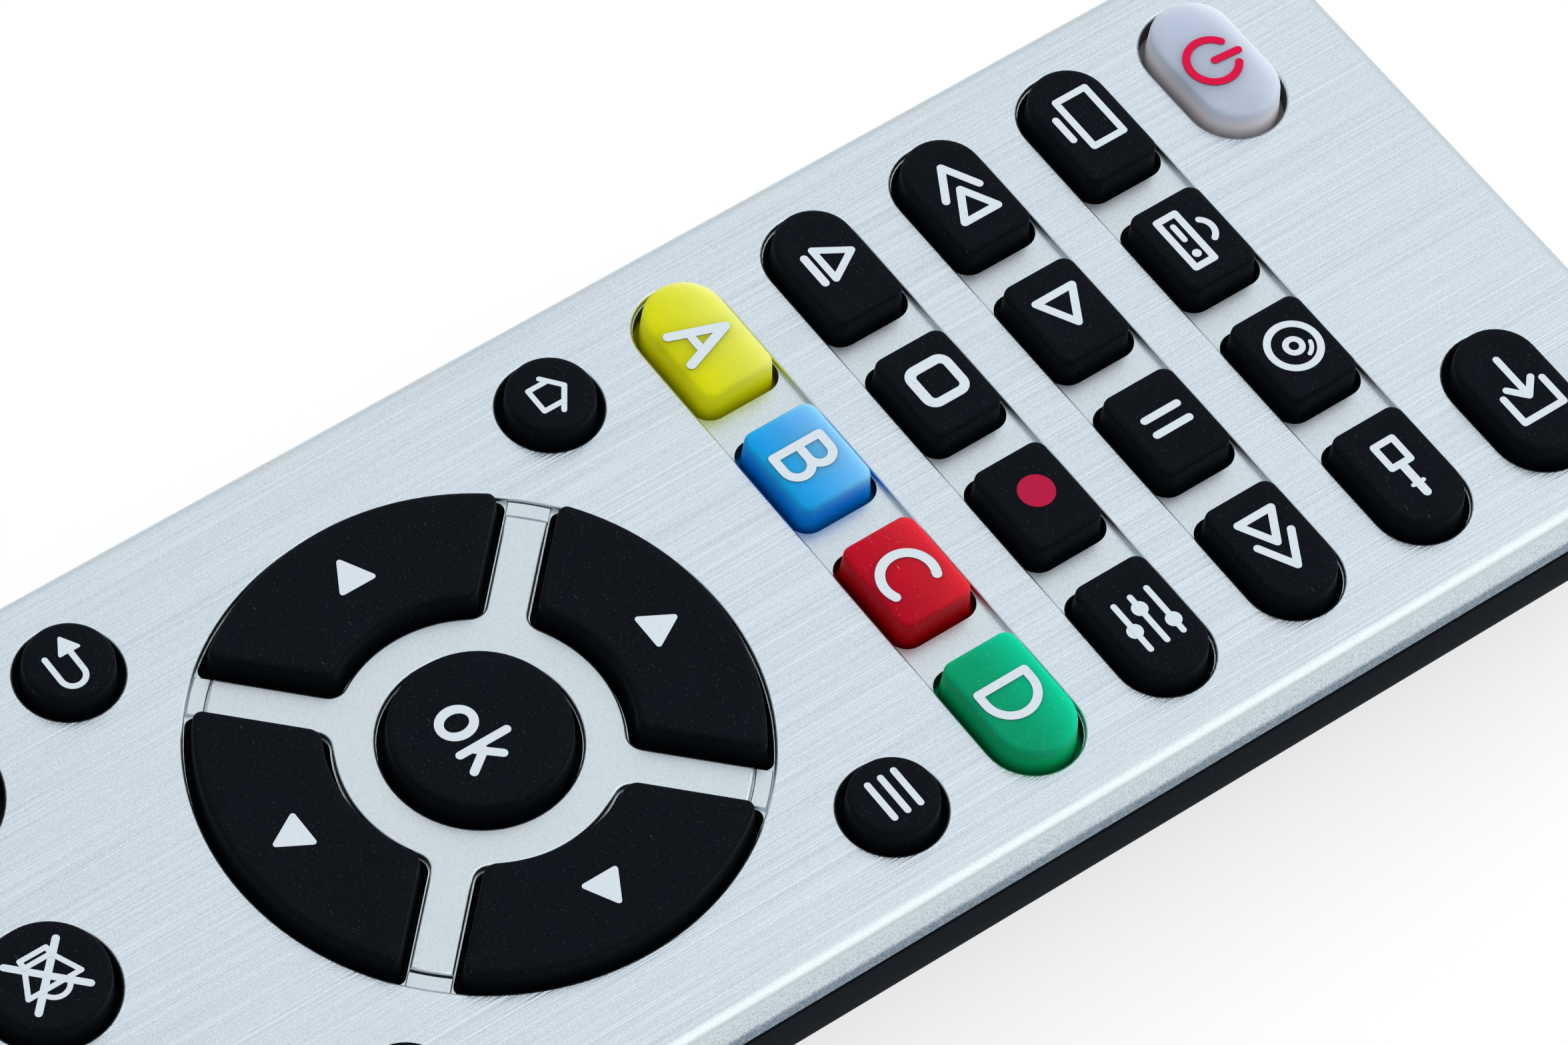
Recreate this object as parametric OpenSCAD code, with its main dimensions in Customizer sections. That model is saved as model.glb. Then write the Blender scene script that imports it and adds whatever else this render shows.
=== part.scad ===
// Hand-held universal remote control: two shells, a keypad of separate keys,
// the circuit board under it, and a battery bay with a sliding door.
// Millimetres. X is the width, Y runs towards the top end, Z is up from the base.

/* [Body] */
// Width of the body
body_w = 50; // [48:1:60]
// Length of the body
body_l = 200; // [198:1:240]
// Wall of both shells
wall = 1.6; // [1.2:0.1:2]
// Thickness of the face
face_t = 1.8; // [1.4:0.1:2.2]
// Corner radius seen from above
corner_r = 4.5; // [3:0.5:8]
// Rounding of the edge around the face
edge_r = 0.8; // [0.6:0.1:2]
// Rounding of the long lower edges
belly_r = 13.5; // [8:0.5:13.5]
// Rounding of the lower edges at both ends
heel_r = 8; // [5:0.5:8]
// Height of the silver side
silver_h = 4.15; // [3.6:0.05:5]
// Open line between the two shells
parting_gap = 0.3; // [0.2:0.05:0.5]

/* [Keys] */
// How far the keys stand above the face
key_rise = 1.6; // [1:0.1:2.5]
// Travel of a pressed key
key_travel = 0.9; // [0.5:0.1:1.2]
// Gap between a key and its hole
key_gap = 0.45; // [0.3:0.05:0.5]
// Slope of a key's sides, from base to top
key_draft = 0.1; // [0:0.05:0.4]
// Bevel around a key's top
key_bevel = 0.35; // [0.1:0.05:0.6]
// Corner radius of the square keys
key_corner = 1; // [0.5:0.1:2]
// Depth of the long recesses
recess_depth = 0.6; // [0.3:0.1:0.9]
// Distance between the rows of keys
row_pitch = 10.35; // [9.5:0.05:12.4]
// Size of a row's keys along the remote
key_d = 5.8; // [5:0.1:6.2]
// Distance between the four keys of an upper row
key_pitch = 10.53; // [10:0.01:10.8]
// Width of the inner keys of an upper row
key_w = 7.4; // [6:0.1:7.5]
// From the middle of the remote to the outer end of a row
row_end = 21.35; // [20.5:0.05:21.8]
// Distance between the three keys of a number row
number_pitch = 14.3; // [13:0.1:15]
// Width of the inner key of a number row
number_w = 11.2; // [9:0.1:11.3]
// Radius of the four small round keys
round_r = 3.05; // [2.5:0.05:3.4]
// From the pad's middle to the small round keys, in X and in Y
round_at = 18.25; // [18:0.05:18.6]
// Radius of the mute and last keys
mute_r = 4.05; // [3:0.05:4.4]
// Width of the rockers and of the two top keys
wide_w = 10.7; // [9:0.1:11]
// Size of the two top keys along the remote
top_key_d = 6.1; // [5:0.1:6.4]
// Length of the rockers
rocker_l = 25.1; // [20:0.1:25.6]
// From the middle of the remote to the rockers and top keys
wide_x = 16; // [15.6:0.1:16.2]

/* [Direction pad] */
// From the top end to the middle of the pad
pad_from_top = 80; // [79:0.5:84]
// Radius of the pocket
pad_r = 18.3; // [17:0.1:18.6]
// Radius of the ok key
ok_r = 5.95; // [5:0.05:6.4]
// Width of the silver ring and of its arms
arm_w = 2.8; // [2.2:0.1:3.4]
// Groove around the ends of the arms
pad_groove = 1.2; // [0.6:0.1:1.6]

/* [Places along the remote] */
// From the pad's middle up to the first row
row_from_pad = 28.95; // [28:0.05:30]
// From the last row up to the two top keys
top_keys_from_row = 10.2; // [9.6:0.1:11]
// From the pad's middle down to the mute key
mute_from_pad = 31.8; // [31:0.1:33]
// From the mute key down to the last key
last_from_mute = 13.6; // [12:0.1:15]
// From the pad's middle down to the first number row
numbers_from_pad = 63; // [62:0.5:64]

/* [Inside] */
// Thickness of the circuit board
board_t = 1; // [0.8:0.1:1.6]
// Thickness of the silicone sheet
sheet_t = 0.5; // [0.4:0.1:0.6]
// Radius of a key's plunger
plunger_r = 1.5; // [1:0.1:1.8]
// Width of the flange that keeps a key in
flange_w = 0.9; // [0.7:0.1:1]
// Thickness of that flange
flange_t = 0.6; // [0.4:0.1:0.7]
// Radius of an AAA cell
cell_r = 5.25; // [4.8:0.05:5.6]
// Length of an AAA cell with its nub
cell_l = 44.5; // [42:0.1:50]
// Thickness of the battery door
door_t = 1.5; // [1.3:0.1:1.8]
// From the side of the battery bay to the door's edge
door_side = 1.85; // [1.5:0.05:2.5]
// Thickness of the battery bay's ceiling
ceiling_t = 0.8; // [0.6:0.1:3]
// Length of a battery spring
spring_l = 3.5; // [3.4:0.1:5]
// Wire of the battery springs
spring_wire = 0.5; // [0.4:0.05:0.5]
// Curls of a battery spring
spring_turns = 3; // [2:1:3]
// Shank radius of the case screws
screw_r = 1; // [0.8:0.1:1.2]
// Half width of the infrared window
window_hw = 8; // [6:0.5:9]

/* [Hidden] */
$fn = 64;
eps = 0.01;

// Battery bay and door
door_gap = 0.2;
door_lip_z = 6;
tongue_w = 1.2;
tongue_z = 0.85;
tongue_gap = 0.1;
slab_z = door_t + 0.15;
slab_t = 1;
bay_wall = 1.2;
cell_gap = 0.15;
cell_apart = 0.6;
cell_x = cell_r + cell_apart / 2;
bay_side_gap = 0.35;
bay_hw = cell_x + cell_r + bay_side_gap;
door_w = 2 * (bay_hw + door_side);
plate_t = 0.4;
plate_w = 8.6;
plate_h = 8.6;
button_h = 0.5;
button_r = 2.4;
touch_gap = 0.1;
bay_l = cell_l + spring_l + spring_wire + 2 * plate_t + button_h + 2 * touch_gap;
bay_from_end = 16;
bay_y0 = bay_from_end - body_l / 2;
bay_y1 = bay_y0 + bay_l;
door_past_bay = 1.8;
door_y1 = bay_y1 + bay_wall + door_past_bay;
grip_from_end = 9;
grip_pitch = 2.2;
grip_n = 7;
grip_l = 16;
grip_r = 0.5;

// Heights: the stack of cells, board, sheet and keys sets how thick the remote is
cell_z = door_t + cell_gap + cell_r;
ceiling_z = cell_z + cell_r + cell_gap;
board_gap = 0.2;
board_low = ceiling_z + ceiling_t + board_gap;
board_top = board_low + board_t;
sheet_top = board_top + sheet_t;
press_gap = 0.3;
flange_low = sheet_top + press_gap + key_travel;
flange_top = flange_low + flange_t;
seat_gap = 0.2;
under_z = flange_top + seat_gap;
body_h = under_z + face_t;
parting_z = body_h - silver_h;
rim_z = parting_z - parting_gap;
floor_z = body_h - recess_depth;
key_top_z = body_h + key_rise;
pad_t = 0.05;
plunger_low = board_top + key_travel + 2 * pad_t;
lip_z = parting_z + 0.55;
lip_t = 1.2;
lip_gap = 0.2;
lip_foot = 2;

// Places along the remote
pad_y = body_l / 2 - pad_from_top;
upper_rows = [for (i = [0:3]) pad_y + row_from_pad + i * row_pitch];
number_rows = [for (i = [0:3]) pad_y - numbers_from_pad - i * row_pitch];
top_keys_y = upper_rows[3] + top_keys_from_row;
mute_y = pad_y - mute_from_pad;
last_y = mute_y - last_from_mute;
rocker_y = (mute_y + last_y) / 2;

// Direction pad
segment_out = pad_r - key_gap;
ring_in = ok_r + key_gap;
ring_out = ring_in + arm_w;
segment_in = ring_out + key_gap;
segment_mid = (segment_in + segment_out) / 2;
segment_side = arm_w / 2 + key_gap;

// Board, sheet and what holds them
board_in = 1.9;
board_w = body_w - 2 * (wall + board_in);
board_y0 = number_rows[3] - key_d / 2 - 3;
board_y1 = top_keys_y + top_key_d / 2 + 2;
sheet_in = 0.3;
sheet_clear = 0.4;
hold_rib_t = min(1, (row_pitch - key_d - 2 * flange_w) / 2);
rest_places = [for (f = [0.06, 0.35, 0.65, 0.94]) board_y0 + f * (board_y1 - board_y0)];
rest_w = 5.2;
rest_t = 1.5;
rest_z = belly_r / 2;

// Case screws and their bosses
boss_r = screw_r + 1.4;
boss_gap = 0.4;
boss_z = 8;
pilot_gap = 0.05;
pilot_l = 6.5;
head_r = screw_r + 1.1;
head_t = 1.6;
head_gap = 0.25;
tube_wall = 0.8;
seat_t = 2;
shank_l = 5.5;
cross_l = 2.4;
cross_w = 0.6;
cross_depth = 0.6;
top_screw_x = 7;
top_screw_y = top_keys_y + 0.8;
low_screw_x = 18;
low_screw_y = 12 - body_l / 2;
screw_places = [
    [-top_screw_x, top_screw_y], [top_screw_x, top_screw_y],
    [-low_screw_x, low_screw_y], [low_screw_x, low_screw_y]
];

// Infrared window and diode
inner_y = body_l / 2 - wall;
window_z0 = heel_r + 0.6;
window_z1 = rim_z - 0.8;
window_mid_z = (window_z0 + window_z1) / 2;
window_gap = 0.1;
window_flange = 0.6;
window_flange_t = 0.8;
window_pocket = 3;
led_r = 1.5;
led_l = 5.2;
led_base_t = 1;
led_base_r = led_r + 0.3;
led_y1 = inner_y - window_flange_t - 0.6;
led_back_y = led_y1 - led_r - led_l - led_base_t;
lead_w = 0.5;
lead_x = 1.27;
lead_l = 6.3;

// Small parts on the board
indicator_x = -wide_x - 2.5;
indicator_l = 1.6;
indicator_w = 0.8;
indicator_h = 0.25;
lens_l = 1;
lens_h = 0.2;
chip_l = 12.8;
chip_w = 7.5;
chip_t = 2.3;
chip_gap = 0.1;
chip_legs = 10;
leg_pitch = 1.27;
leg_w = 0.4;
leg_foot = 1.4;
part_x = 12;
crystal_l = 10.2;
crystal_w = 3.8;
crystal_h = 3.6;
crystal_brim = 0.4;
capacitor_r = 2.5;
capacitor_h = 9;

// Cells and springs
nub_r = 1.9;
nub_l = 1;
cell_edge = 0.5;
cell_low = -bay_l / 2 + plate_t + spring_wire + spring_l + touch_gap;
spring_r0 = 3;
spring_r1 = 2.2;
curl_rings = 12;
tube_sides = 6;
spring_steps = curl_rings * spring_turns;

// Every plunger: where the contact pads and the sheet's openings are
function row_x0(i, n, pitch, w) = i == 0 ? -row_end : (i - (n - 1) / 2) * pitch - w / 2;
function row_x1(i, n, pitch, w) = i == n - 1 ? row_end : (i - (n - 1) / 2) * pitch + w / 2;
function row_mid(i, n, pitch, w) = (row_x0(i, n, pitch, w) + row_x1(i, n, pitch, w)) / 2;
rocker_reach = rocker_l / 2 - 4;
rocker_tab = 2;
power_plunger_x = 2.5 - wide_x;
plungers = concat(
    [for (y = upper_rows, i = [0:3]) [row_mid(i, 4, key_pitch, key_w), y]],
    [for (y = number_rows, i = [0:2]) [row_mid(i, 3, number_pitch, number_w), y]],
    [for (x = [-1, 1], y = [-1, 1]) [x * round_at, pad_y + y * round_at]],
    [for (a = [0:90:270]) [segment_mid * cos(a), pad_y + segment_mid * sin(a)]],
    [for (x = [-1, 1], y = [-1, 1]) [x * wide_x, rocker_y + y * rocker_reach]],
    [[0, pad_y], [0, mute_y], [0, last_y], [power_plunger_x, top_keys_y], [wide_x, top_keys_y]]
);

// Keys: name, row, place in the row, colour
dark = [0.06, 0.07, 0.09];
upper_keys = [
    ["key_a", 0, 0, [0.87, 0.87, 0.08]], ["key_b", 0, 1, [0.2, 0.55, 0.88]],
    ["key_c", 0, 2, [0.75, 0.1, 0.14]], ["key_d", 0, 3, [0, 0.59, 0.37]],
    ["key_eject", 1, 0, dark], ["key_stop", 1, 1, dark],
    ["key_record", 1, 2, dark], ["key_setup", 1, 3, dark],
    ["key_rewind", 2, 0, dark], ["key_play", 2, 1, dark],
    ["key_pause", 2, 2, dark], ["key_forward", 2, 3, dark],
    ["key_device_1", 3, 0, dark], ["key_device_2", 3, 1, dark],
    ["key_device_3", 3, 2, dark], ["key_device_4", 3, 3, dark]
];
number_names = [
    ["key_1", "key_2", "key_3"], ["key_4", "key_5", "key_6"],
    ["key_7", "key_8", "key_9"], ["key_dash", "key_0", "key_enter"]
];
number_keys = [for (r = [0:3], i = [0:2]) [number_names[r][i], r, i, dark]];
round_keys = [
    ["key_home", -round_at, pad_y + round_at, round_r],
    ["key_menu", round_at, pad_y + round_at, round_r],
    ["key_back", -round_at, pad_y - round_at, round_r],
    ["key_info", round_at, pad_y - round_at, round_r],
    ["key_ok", 0, pad_y, ok_r], ["key_mute", 0, mute_y, mute_r], ["key_last", 0, last_y, mute_r]
];
segment_keys = [["key_right", 0], ["key_up", 90], ["key_left", 180], ["key_down", 270]];
rocker_keys = [["key_volume", -wide_x], ["key_channel", wide_x]];
key_tables = [upper_keys, number_keys, round_keys, segment_keys, rocker_keys];
key_names = [for (table = key_tables, key = table) key[0]];

// Flat shapes

// Stadium with half sizes hx and hy, the longer one along X
module pill(hx, hy) {
    square([2 * (hx - hy), 2 * hy], center = true);
    for (s = [-1, 1]) translate([s * (hx - hy), 0]) circle(hy);
}

// Rectangle with round corners
module soft_rect(hx, hy, r) {
    square([2 * hx, 2 * (hy - r)], center = true);
    square([2 * (hx - r), 2 * hy], center = true);
    for (x = [-1, 1], y = [-1, 1]) translate([x * (hx - r), y * (hy - r)]) circle(r);
}

// One key of a row, from x0 to x1: the first and last have a half-round outer end
module row_key_shape(x0, x1, hy, first, last, r) {
    left_r = first ? hy : r;
    right_r = last ? hy : r;
    translate([x0 + left_r, -hy]) square([x1 - x0 - left_r - right_r, 2 * hy]);
    if (first) translate([x0 + hy, 0]) circle(hy);
    else translate([x0, r - hy]) square([2 * r, 2 * (hy - r)]);
    if (last) translate([x1 - hy, 0]) circle(hy);
    else translate([x1 - 2 * r, r - hy]) square([2 * r, 2 * (hy - r)]);
    if (!first) for (s = [-1, 1]) translate([x0 + r, s * (hy - r)]) circle(r);
    if (!last) for (s = [-1, 1]) translate([x1 - r, s * (hy - r)]) circle(r);
}

// Ring segment around +X, between two diagonal arms
module segment_outline(r_in, r_out, side) {
    difference() {
        circle(r_out);
        circle(r_in);
        for (a = [45, -45]) rotate(a) {
            translate([-r_out - 1, -side]) square([2 * r_out + 2, 2 * side]);
            translate([-2 * r_out, -2 * r_out]) square([2 * r_out, 4 * r_out]);
        }
    }
}

// Through holes of one row of n keys, grown by the key gap
module row_holes(n, pitch, w) {
    for (i = [0:n - 1])
        row_key_shape(row_x0(i, n, pitch, w) - key_gap, row_x1(i, n, pitch, w) + key_gap,
            key_d / 2 + key_gap, i == 0, i == n - 1, key_corner + key_gap);
}

// Body

// Corner radius of an outline that lies inset inside the body's
function corner_at(inset) = max(corner_r - inset, 0.3);

// Outline of the body, moved inwards by inset
module outline_at(inset) {
    soft_rect(body_w / 2 - inset, body_l / 2 - inset, corner_at(inset));
}

// Outer form, moved inwards by inset on every side, up to the height top
module envelope(inset, top) {
    intersection() {
        translate([0, 0, inset]) linear_extrude(top - inset) outline_at(inset);
        rotate([90, 0, 0]) linear_extrude(body_l + 2, center = true)
            side_profile(body_w / 2 - inset, inset, top, belly_r - inset);
        rotate([90, 0, 90]) linear_extrude(body_w + 2, center = true)
            side_profile(body_l / 2 - inset, inset, top, heel_r - inset);
    }
}

// Cross-section with a small radius above and a large one below
module side_profile(h, low, top, r_low) {
    translate([-h, low + r_low]) square([2 * h, top - low - r_low - edge_r]);
    translate([edge_r - h, top - edge_r - eps]) square([2 * (h - edge_r), edge_r + eps]);
    translate([r_low - h, low]) square([2 * (h - r_low), r_low + eps]);
    for (s = [-1, 1]) {
        translate([s * (h - edge_r), top - edge_r]) circle(edge_r);
        translate([s * (h - r_low), low + r_low]) circle(r_low);
    }
}

// Everything above one height
module keep_above(z) {
    translate([-body_w, -body_l, z]) cube([2 * body_w, 2 * body_l, 2 * body_h]);
}

// Screw bosses, ribs that hold the sheet down, and the pilot holes in the bosses
module top_case_inside() {
    for (p = screw_places) translate([p[0], p[1], boss_z])
        difference() {
            cylinder(h = under_z - boss_z + eps, r = boss_r);
            translate([0, 0, -1]) cylinder(h = pilot_l + 1, r = screw_r + pilot_gap);
        }
    for (rows = [upper_rows, number_rows], i = [0:2])
        translate([-row_end, (rows[i] + rows[i + 1] - hold_rib_t) / 2, sheet_top])
            cube([2 * row_end, hold_rib_t, under_z - sheet_top + eps]);
}

module top_case() {
    color([0.8, 0.83, 0.87])
    difference() {
        union() {
            difference() {
                intersection() {
                    envelope(0, body_h);
                    keep_above(parting_z);
                }
                envelope(wall, under_z);
            }
            top_case_inside();
        }
        translate([0, 0, under_z - 1]) linear_extrude(face_t + 2) key_holes();
        translate([0, 0, floor_z]) linear_extrude(recess_depth + 1) key_recesses();
    }
}

// Holes for every key
module key_holes() {
    for (y = upper_rows) translate([0, y]) row_holes(4, key_pitch, key_w);
    for (y = number_rows) translate([0, y]) row_holes(3, number_pitch, number_w);
    for (k = round_keys) translate([k[1], k[2]]) circle(k[3] + key_gap);
    for (k = segment_keys) translate([0, pad_y]) rotate(k[1])
        segment_outline(ring_out, pad_r, arm_w / 2);
    for (s = [-1, 1]) {
        translate([s * wide_x, top_keys_y]) pill(wide_w / 2 + key_gap, top_key_d / 2 + key_gap);
        translate([s * wide_x, rocker_y]) rotate(90) pill(rocker_l / 2 + key_gap, wide_w / 2 + key_gap);
    }
}

// Long recesses of the rows, and the groove around the ends of the pad's arms
module key_recesses() {
    for (y = concat(upper_rows, number_rows)) translate([0, y])
        pill(row_end + key_gap, key_d / 2 + key_gap);
    translate([0, pad_y]) difference() {
        circle(pad_r);
        circle(pad_r - pad_groove);
    }
}

// Rim, door rails, battery bay, board rests and screw tubes
module bottom_case_inside() {
    intersection() {
        envelope(wall / 2, body_h);
        union() {
            translate([-body_w / 2, -body_l / 2, slab_z])
                cube([body_w, door_y1 + bay_wall + body_l / 2, slab_t]);
            translate([-bay_hw - bay_wall, bay_y0 - bay_wall, slab_z])
                cube([2 * (bay_hw + bay_wall), bay_l + 2 * bay_wall, ceiling_z + ceiling_t - slab_z]);
            for (x = [-1, 1], y = rest_places)
                translate([x * (body_w / 2 - rest_w / 2), y, (board_low + rest_z) / 2])
                    cube([rest_w, rest_t, board_low - rest_z], center = true);
            for (p = screw_places) translate([p[0], p[1], 0])
                cylinder(h = boss_z, r = head_r + head_gap + tube_wall);
        }
    }
}

// Upright lip that the upper shell drops over, on a foot that joins it to the wall
module rim_lip() {
    out = wall + lip_gap;
    translate([0, 0, rim_z - lip_foot]) linear_extrude(lip_z - rim_z + lip_foot) difference() {
        outline_at(out);
        outline_at(out + lip_t);
    }
    translate([0, 0, rim_z - lip_foot]) linear_extrude(lip_foot) difference() {
        outline_at(wall / 2);
        outline_at(out + lip_t);
    }
}

module bottom_case() {
    color(dark)
    difference() {
        union() {
            difference() {
                envelope(0, body_h);
                keep_above(rim_z);
                envelope(wall, body_h);
            }
            bottom_case_inside();
            rim_lip();
        }
        door_cut();
        translate([-bay_hw, bay_y0, -1]) cube([2 * bay_hw, bay_l, ceiling_z + 1]);
        for (p = screw_places) translate([p[0], p[1], -1]) {
            cylinder(h = boss_z - seat_t + 1, r = head_r + head_gap);
            cylinder(h = boss_z + 2, r = screw_r + head_gap);
        }
        window_cut();
    }
}

// Opening of the window, and the pocket behind it for the window's flange
module window_cut() {
    h = window_z1 - window_z0;
    translate([-window_hw, inner_y - window_pocket, window_z0])
        cube([2 * window_hw, window_pocket + wall + 1, h]);
    translate([-window_hw - window_flange, inner_y - window_pocket, window_z0 - window_flange])
        cube([2 * (window_hw + window_flange), window_pocket, h + 2 * window_flange]);
}

// Room for the door in the shell, its end lip and its side tongues
module door_cut() {
    reach = door_y1 + body_l / 2 + 1;
    difference() {
        translate([-door_w / 2, -body_l / 2 - 1, -1]) cube([door_w, reach, door_lip_z + 1]);
        envelope(slab_z, body_h);
    }
    translate([-door_w / 2 - tongue_w, -body_l / 2 - 1, tongue_z - tongue_gap])
        cube([door_w + 2 * tongue_w, reach, slab_z - tongue_z + tongue_gap]);
}

module battery_door() {
    hw = door_w / 2 - door_gap;
    tongue_hw = door_w / 2 + tongue_w - 2 * door_gap;
    top_y = door_y1 - door_gap;
    color(dark)
    difference() {
        union() {
            intersection() {
                difference() {
                    envelope(0, body_h);
                    envelope(door_t, body_h);
                }
                translate([-hw, -body_l / 2 - 1, -1])
                    cube([2 * hw, top_y + body_l / 2 + 1, door_lip_z - door_gap + 1]);
            }
            intersection() {
                envelope(0, body_h);
                translate([-tongue_hw, wall - body_l / 2, tongue_z])
                    cube([2 * tongue_hw, top_y + body_l / 2 - wall, door_t - tongue_z]);
            }
        }
        for (i = [0:grip_n - 1])
            translate([0, door_y1 - grip_from_end - grip_pitch * i, 0]) rotate([0, 90, 0])
                cylinder(h = grip_l, r = grip_r, center = true);
    }
}

// Keypad, board and parts

module keypad_sheet() {
    color([0.12, 0.12, 0.13])
    translate([0, 0, board_top]) linear_extrude(sheet_t) difference() {
        board_outline(sheet_in);
        for (p = plungers) translate(p) circle(plunger_r + sheet_clear);
        translate([indicator_x, top_keys_y]) circle(indicator_l);
    }
}

// Board outline, moved inwards, with clearance around the screw bosses
module board_outline(inset) {
    difference() {
        translate([inset - board_w / 2, board_y0 + inset])
            square([board_w - 2 * inset, board_y1 - board_y0 - 2 * inset]);
        for (p = screw_places) translate(p) circle(boss_r + boss_gap);
    }
}

module circuit_board() {
    color([0.16, 0.38, 0.2])
    translate([0, 0, board_low]) linear_extrude(board_t) board_outline(0);
}

module contact_pads() {
    color([0.15, 0.15, 0.15])
    for (p = plungers) translate([p[0], p[1], board_top]) cylinder(h = pad_t, r = plunger_r);
}

module indicator_led() {
    color([0.9, 0.85, 0.8])
    translate([indicator_x, top_keys_y, board_top]) {
        translate([-indicator_l / 2, -indicator_w / 2, 0]) cube([indicator_l, indicator_w, indicator_h]);
        translate([-lens_l / 2, -indicator_w / 2, indicator_h]) cube([lens_l, indicator_w, lens_h]);
    }
}

// Flat chip with bent legs that stand on the board
module controller_chip() {
    leg_z = (chip_t + chip_gap) / 2;
    color([0.09, 0.09, 0.1])
    translate([0, upper_rows[0], board_low]) {
        translate([-chip_w / 2, -chip_l / 2, -chip_t - chip_gap]) cube([chip_w, chip_l, chip_t]);
        for (s = [-1, 1], i = [0:chip_legs - 1])
            translate([s * chip_w / 2, (i - (chip_legs - 1) / 2) * leg_pitch, 0]) {
                translate([s * leg_foot / 2, 0, -leg_w / 2])
                    cube([leg_foot, leg_w, leg_w], center = true);
                translate([s * leg_w / 2, 0, -leg_z / 2]) cube([leg_w, leg_w, leg_z], center = true);
                translate([0, 0, -leg_z]) cube([2 * leg_w, leg_w, leg_w], center = true);
            }
    }
}

module crystal() {
    color([0.75, 0.76, 0.78])
    translate([part_x, upper_rows[1], board_low]) {
        translate([0, 0, -crystal_brim]) linear_extrude(crystal_brim)
            pill(crystal_l / 2 + crystal_brim, crystal_w / 2 + crystal_brim);
        translate([0, 0, -crystal_h]) linear_extrude(crystal_h) pill(crystal_l / 2, crystal_w / 2);
    }
}

// Can with a rolled rim and a groove near the board
module capacitor() {
    roll = 0.2;
    groove = 1.4;
    color([0.1, 0.12, 0.25])
    translate([-part_x, upper_rows[1], board_low - capacitor_h]) rotate_extrude() polygon([
        [0, 0], [capacitor_r - roll, 0], [capacitor_r, roll], [capacitor_r, capacitor_h - groove - roll],
        [capacitor_r - roll, capacitor_h - groove], [capacitor_r, capacitor_h - groove + roll],
        [capacitor_r, capacitor_h], [0, capacitor_h]
    ]);
}

// Diode that looks out of the window, on leads bent up to the board
module ir_led() {
    color([0.2, 0.1, 0.15]) {
        translate([0, led_y1 - led_r, window_mid_z]) {
            sphere(led_r);
            rotate([90, 0, 0]) cylinder(h = led_l, r = led_r);
            translate([0, -led_l, 0]) rotate([90, 0, 0]) cylinder(h = led_base_t, r = led_base_r);
        }
        for (s = [-1, 1])
            translate([s * lead_x - lead_w / 2, led_back_y - lead_l, window_mid_z - lead_w / 2]) {
                cube([lead_w, lead_l + led_base_t / 2, lead_w]);
                cube([lead_w, lead_w, board_low - window_mid_z + lead_w / 2]);
            }
    }
}

module ir_window() {
    hw = window_hw - window_gap;
    hh = (window_z1 - window_z0) / 2 - window_gap;
    color([0.12, 0.02, 0.04])
    translate([0, inner_y - touch_gap / 2, window_mid_z]) {
        translate([-hw, 0, -hh]) cube([2 * hw, wall + touch_gap / 2, 2 * hh]);
        translate([-hw - window_flange, -window_flange_t, -hh - window_flange])
            cube([2 * (hw + window_flange), window_flange_t, 2 * (hh + window_flange)]);
    }
}

// Batteries

// Calls its children for both cells, with the nub end of the second turned round
module each_cell() {
    for (s = [-1, 1])
        translate([s * cell_x, (bay_y0 + bay_y1) / 2, cell_z]) rotate(s > 0 ? 180 : 0) children();
}

module battery_cells() {
    shoulder = cell_l - nub_l;
    color([0.75, 0.6, 0.2])
    each_cell() translate([0, cell_low, 0]) rotate([-90, 0, 0]) rotate_extrude() polygon([
        [0, 0], [cell_r - cell_edge, 0], [cell_r, cell_edge], [cell_r, shoulder - cell_edge],
        [cell_r - cell_edge, shoulder], [nub_r, shoulder], [nub_r, cell_l], [0, cell_l]
    ]);
}

// One bridge plate at the low end, two single plates at the high end, a button against each nub
module battery_contacts() {
    low_z = cell_z - plate_h / 2;
    color([0.78, 0.78, 0.74]) {
        translate([-cell_x - plate_w / 2, bay_y0, low_z]) cube([2 * cell_x + plate_w, plate_t, plate_h]);
        for (s = [-1, 1]) translate([s * cell_x - plate_w / 2, bay_y1 - plate_t, low_z])
            cube([plate_w, plate_t, plate_h]);
        each_cell() translate([0, bay_l / 2 - plate_t, 0]) rotate([90, 0, 0])
            cylinder(h = button_h, r = button_r);
    }
}

// Spring as one unbroken tube: its middle line, then rings of points around it
function spring_radius(i) = spring_r0 + (spring_r1 - spring_r0) * i / spring_steps;
function spring_point(i) = let (a = 360 * i / curl_rings)
    [spring_radius(i) * cos(a), spring_l * i / spring_steps, spring_radius(i) * sin(a)];
function spring_ring(i) = let (a = 360 * i / curl_rings, c = spring_point(i))
    [for (k = [0:tube_sides - 1]) let (b = 360 * k / tube_sides)
        c + spring_wire / 2 * [cos(b) * cos(a), sin(b), cos(b) * sin(a)]];
spring_points = [for (i = [0:spring_steps]) each spring_ring(i)];
function tube_corner(i, k) = i * tube_sides + k % tube_sides;
spring_faces = concat(
    [for (i = [0:spring_steps - 1], k = [0:tube_sides - 1])
        [tube_corner(i, k), tube_corner(i, k + 1), tube_corner(i + 1, k + 1)]],
    [for (i = [0:spring_steps - 1], k = [0:tube_sides - 1])
        [tube_corner(i, k), tube_corner(i + 1, k + 1), tube_corner(i + 1, k)]],
    [for (k = [1:tube_sides - 2]) [0, k + 1, k]],
    [for (k = [1:tube_sides - 2])
        [tube_corner(spring_steps, 0), tube_corner(spring_steps, k), tube_corner(spring_steps, k + 1)]]
);
spring_self_gap = min([for (i = [0:spring_steps], j = [i + curl_rings / 2:spring_steps])
    norm(spring_point(i) - spring_point(j))]) - spring_wire;
echo(spring_self_gap = spring_self_gap);

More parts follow.
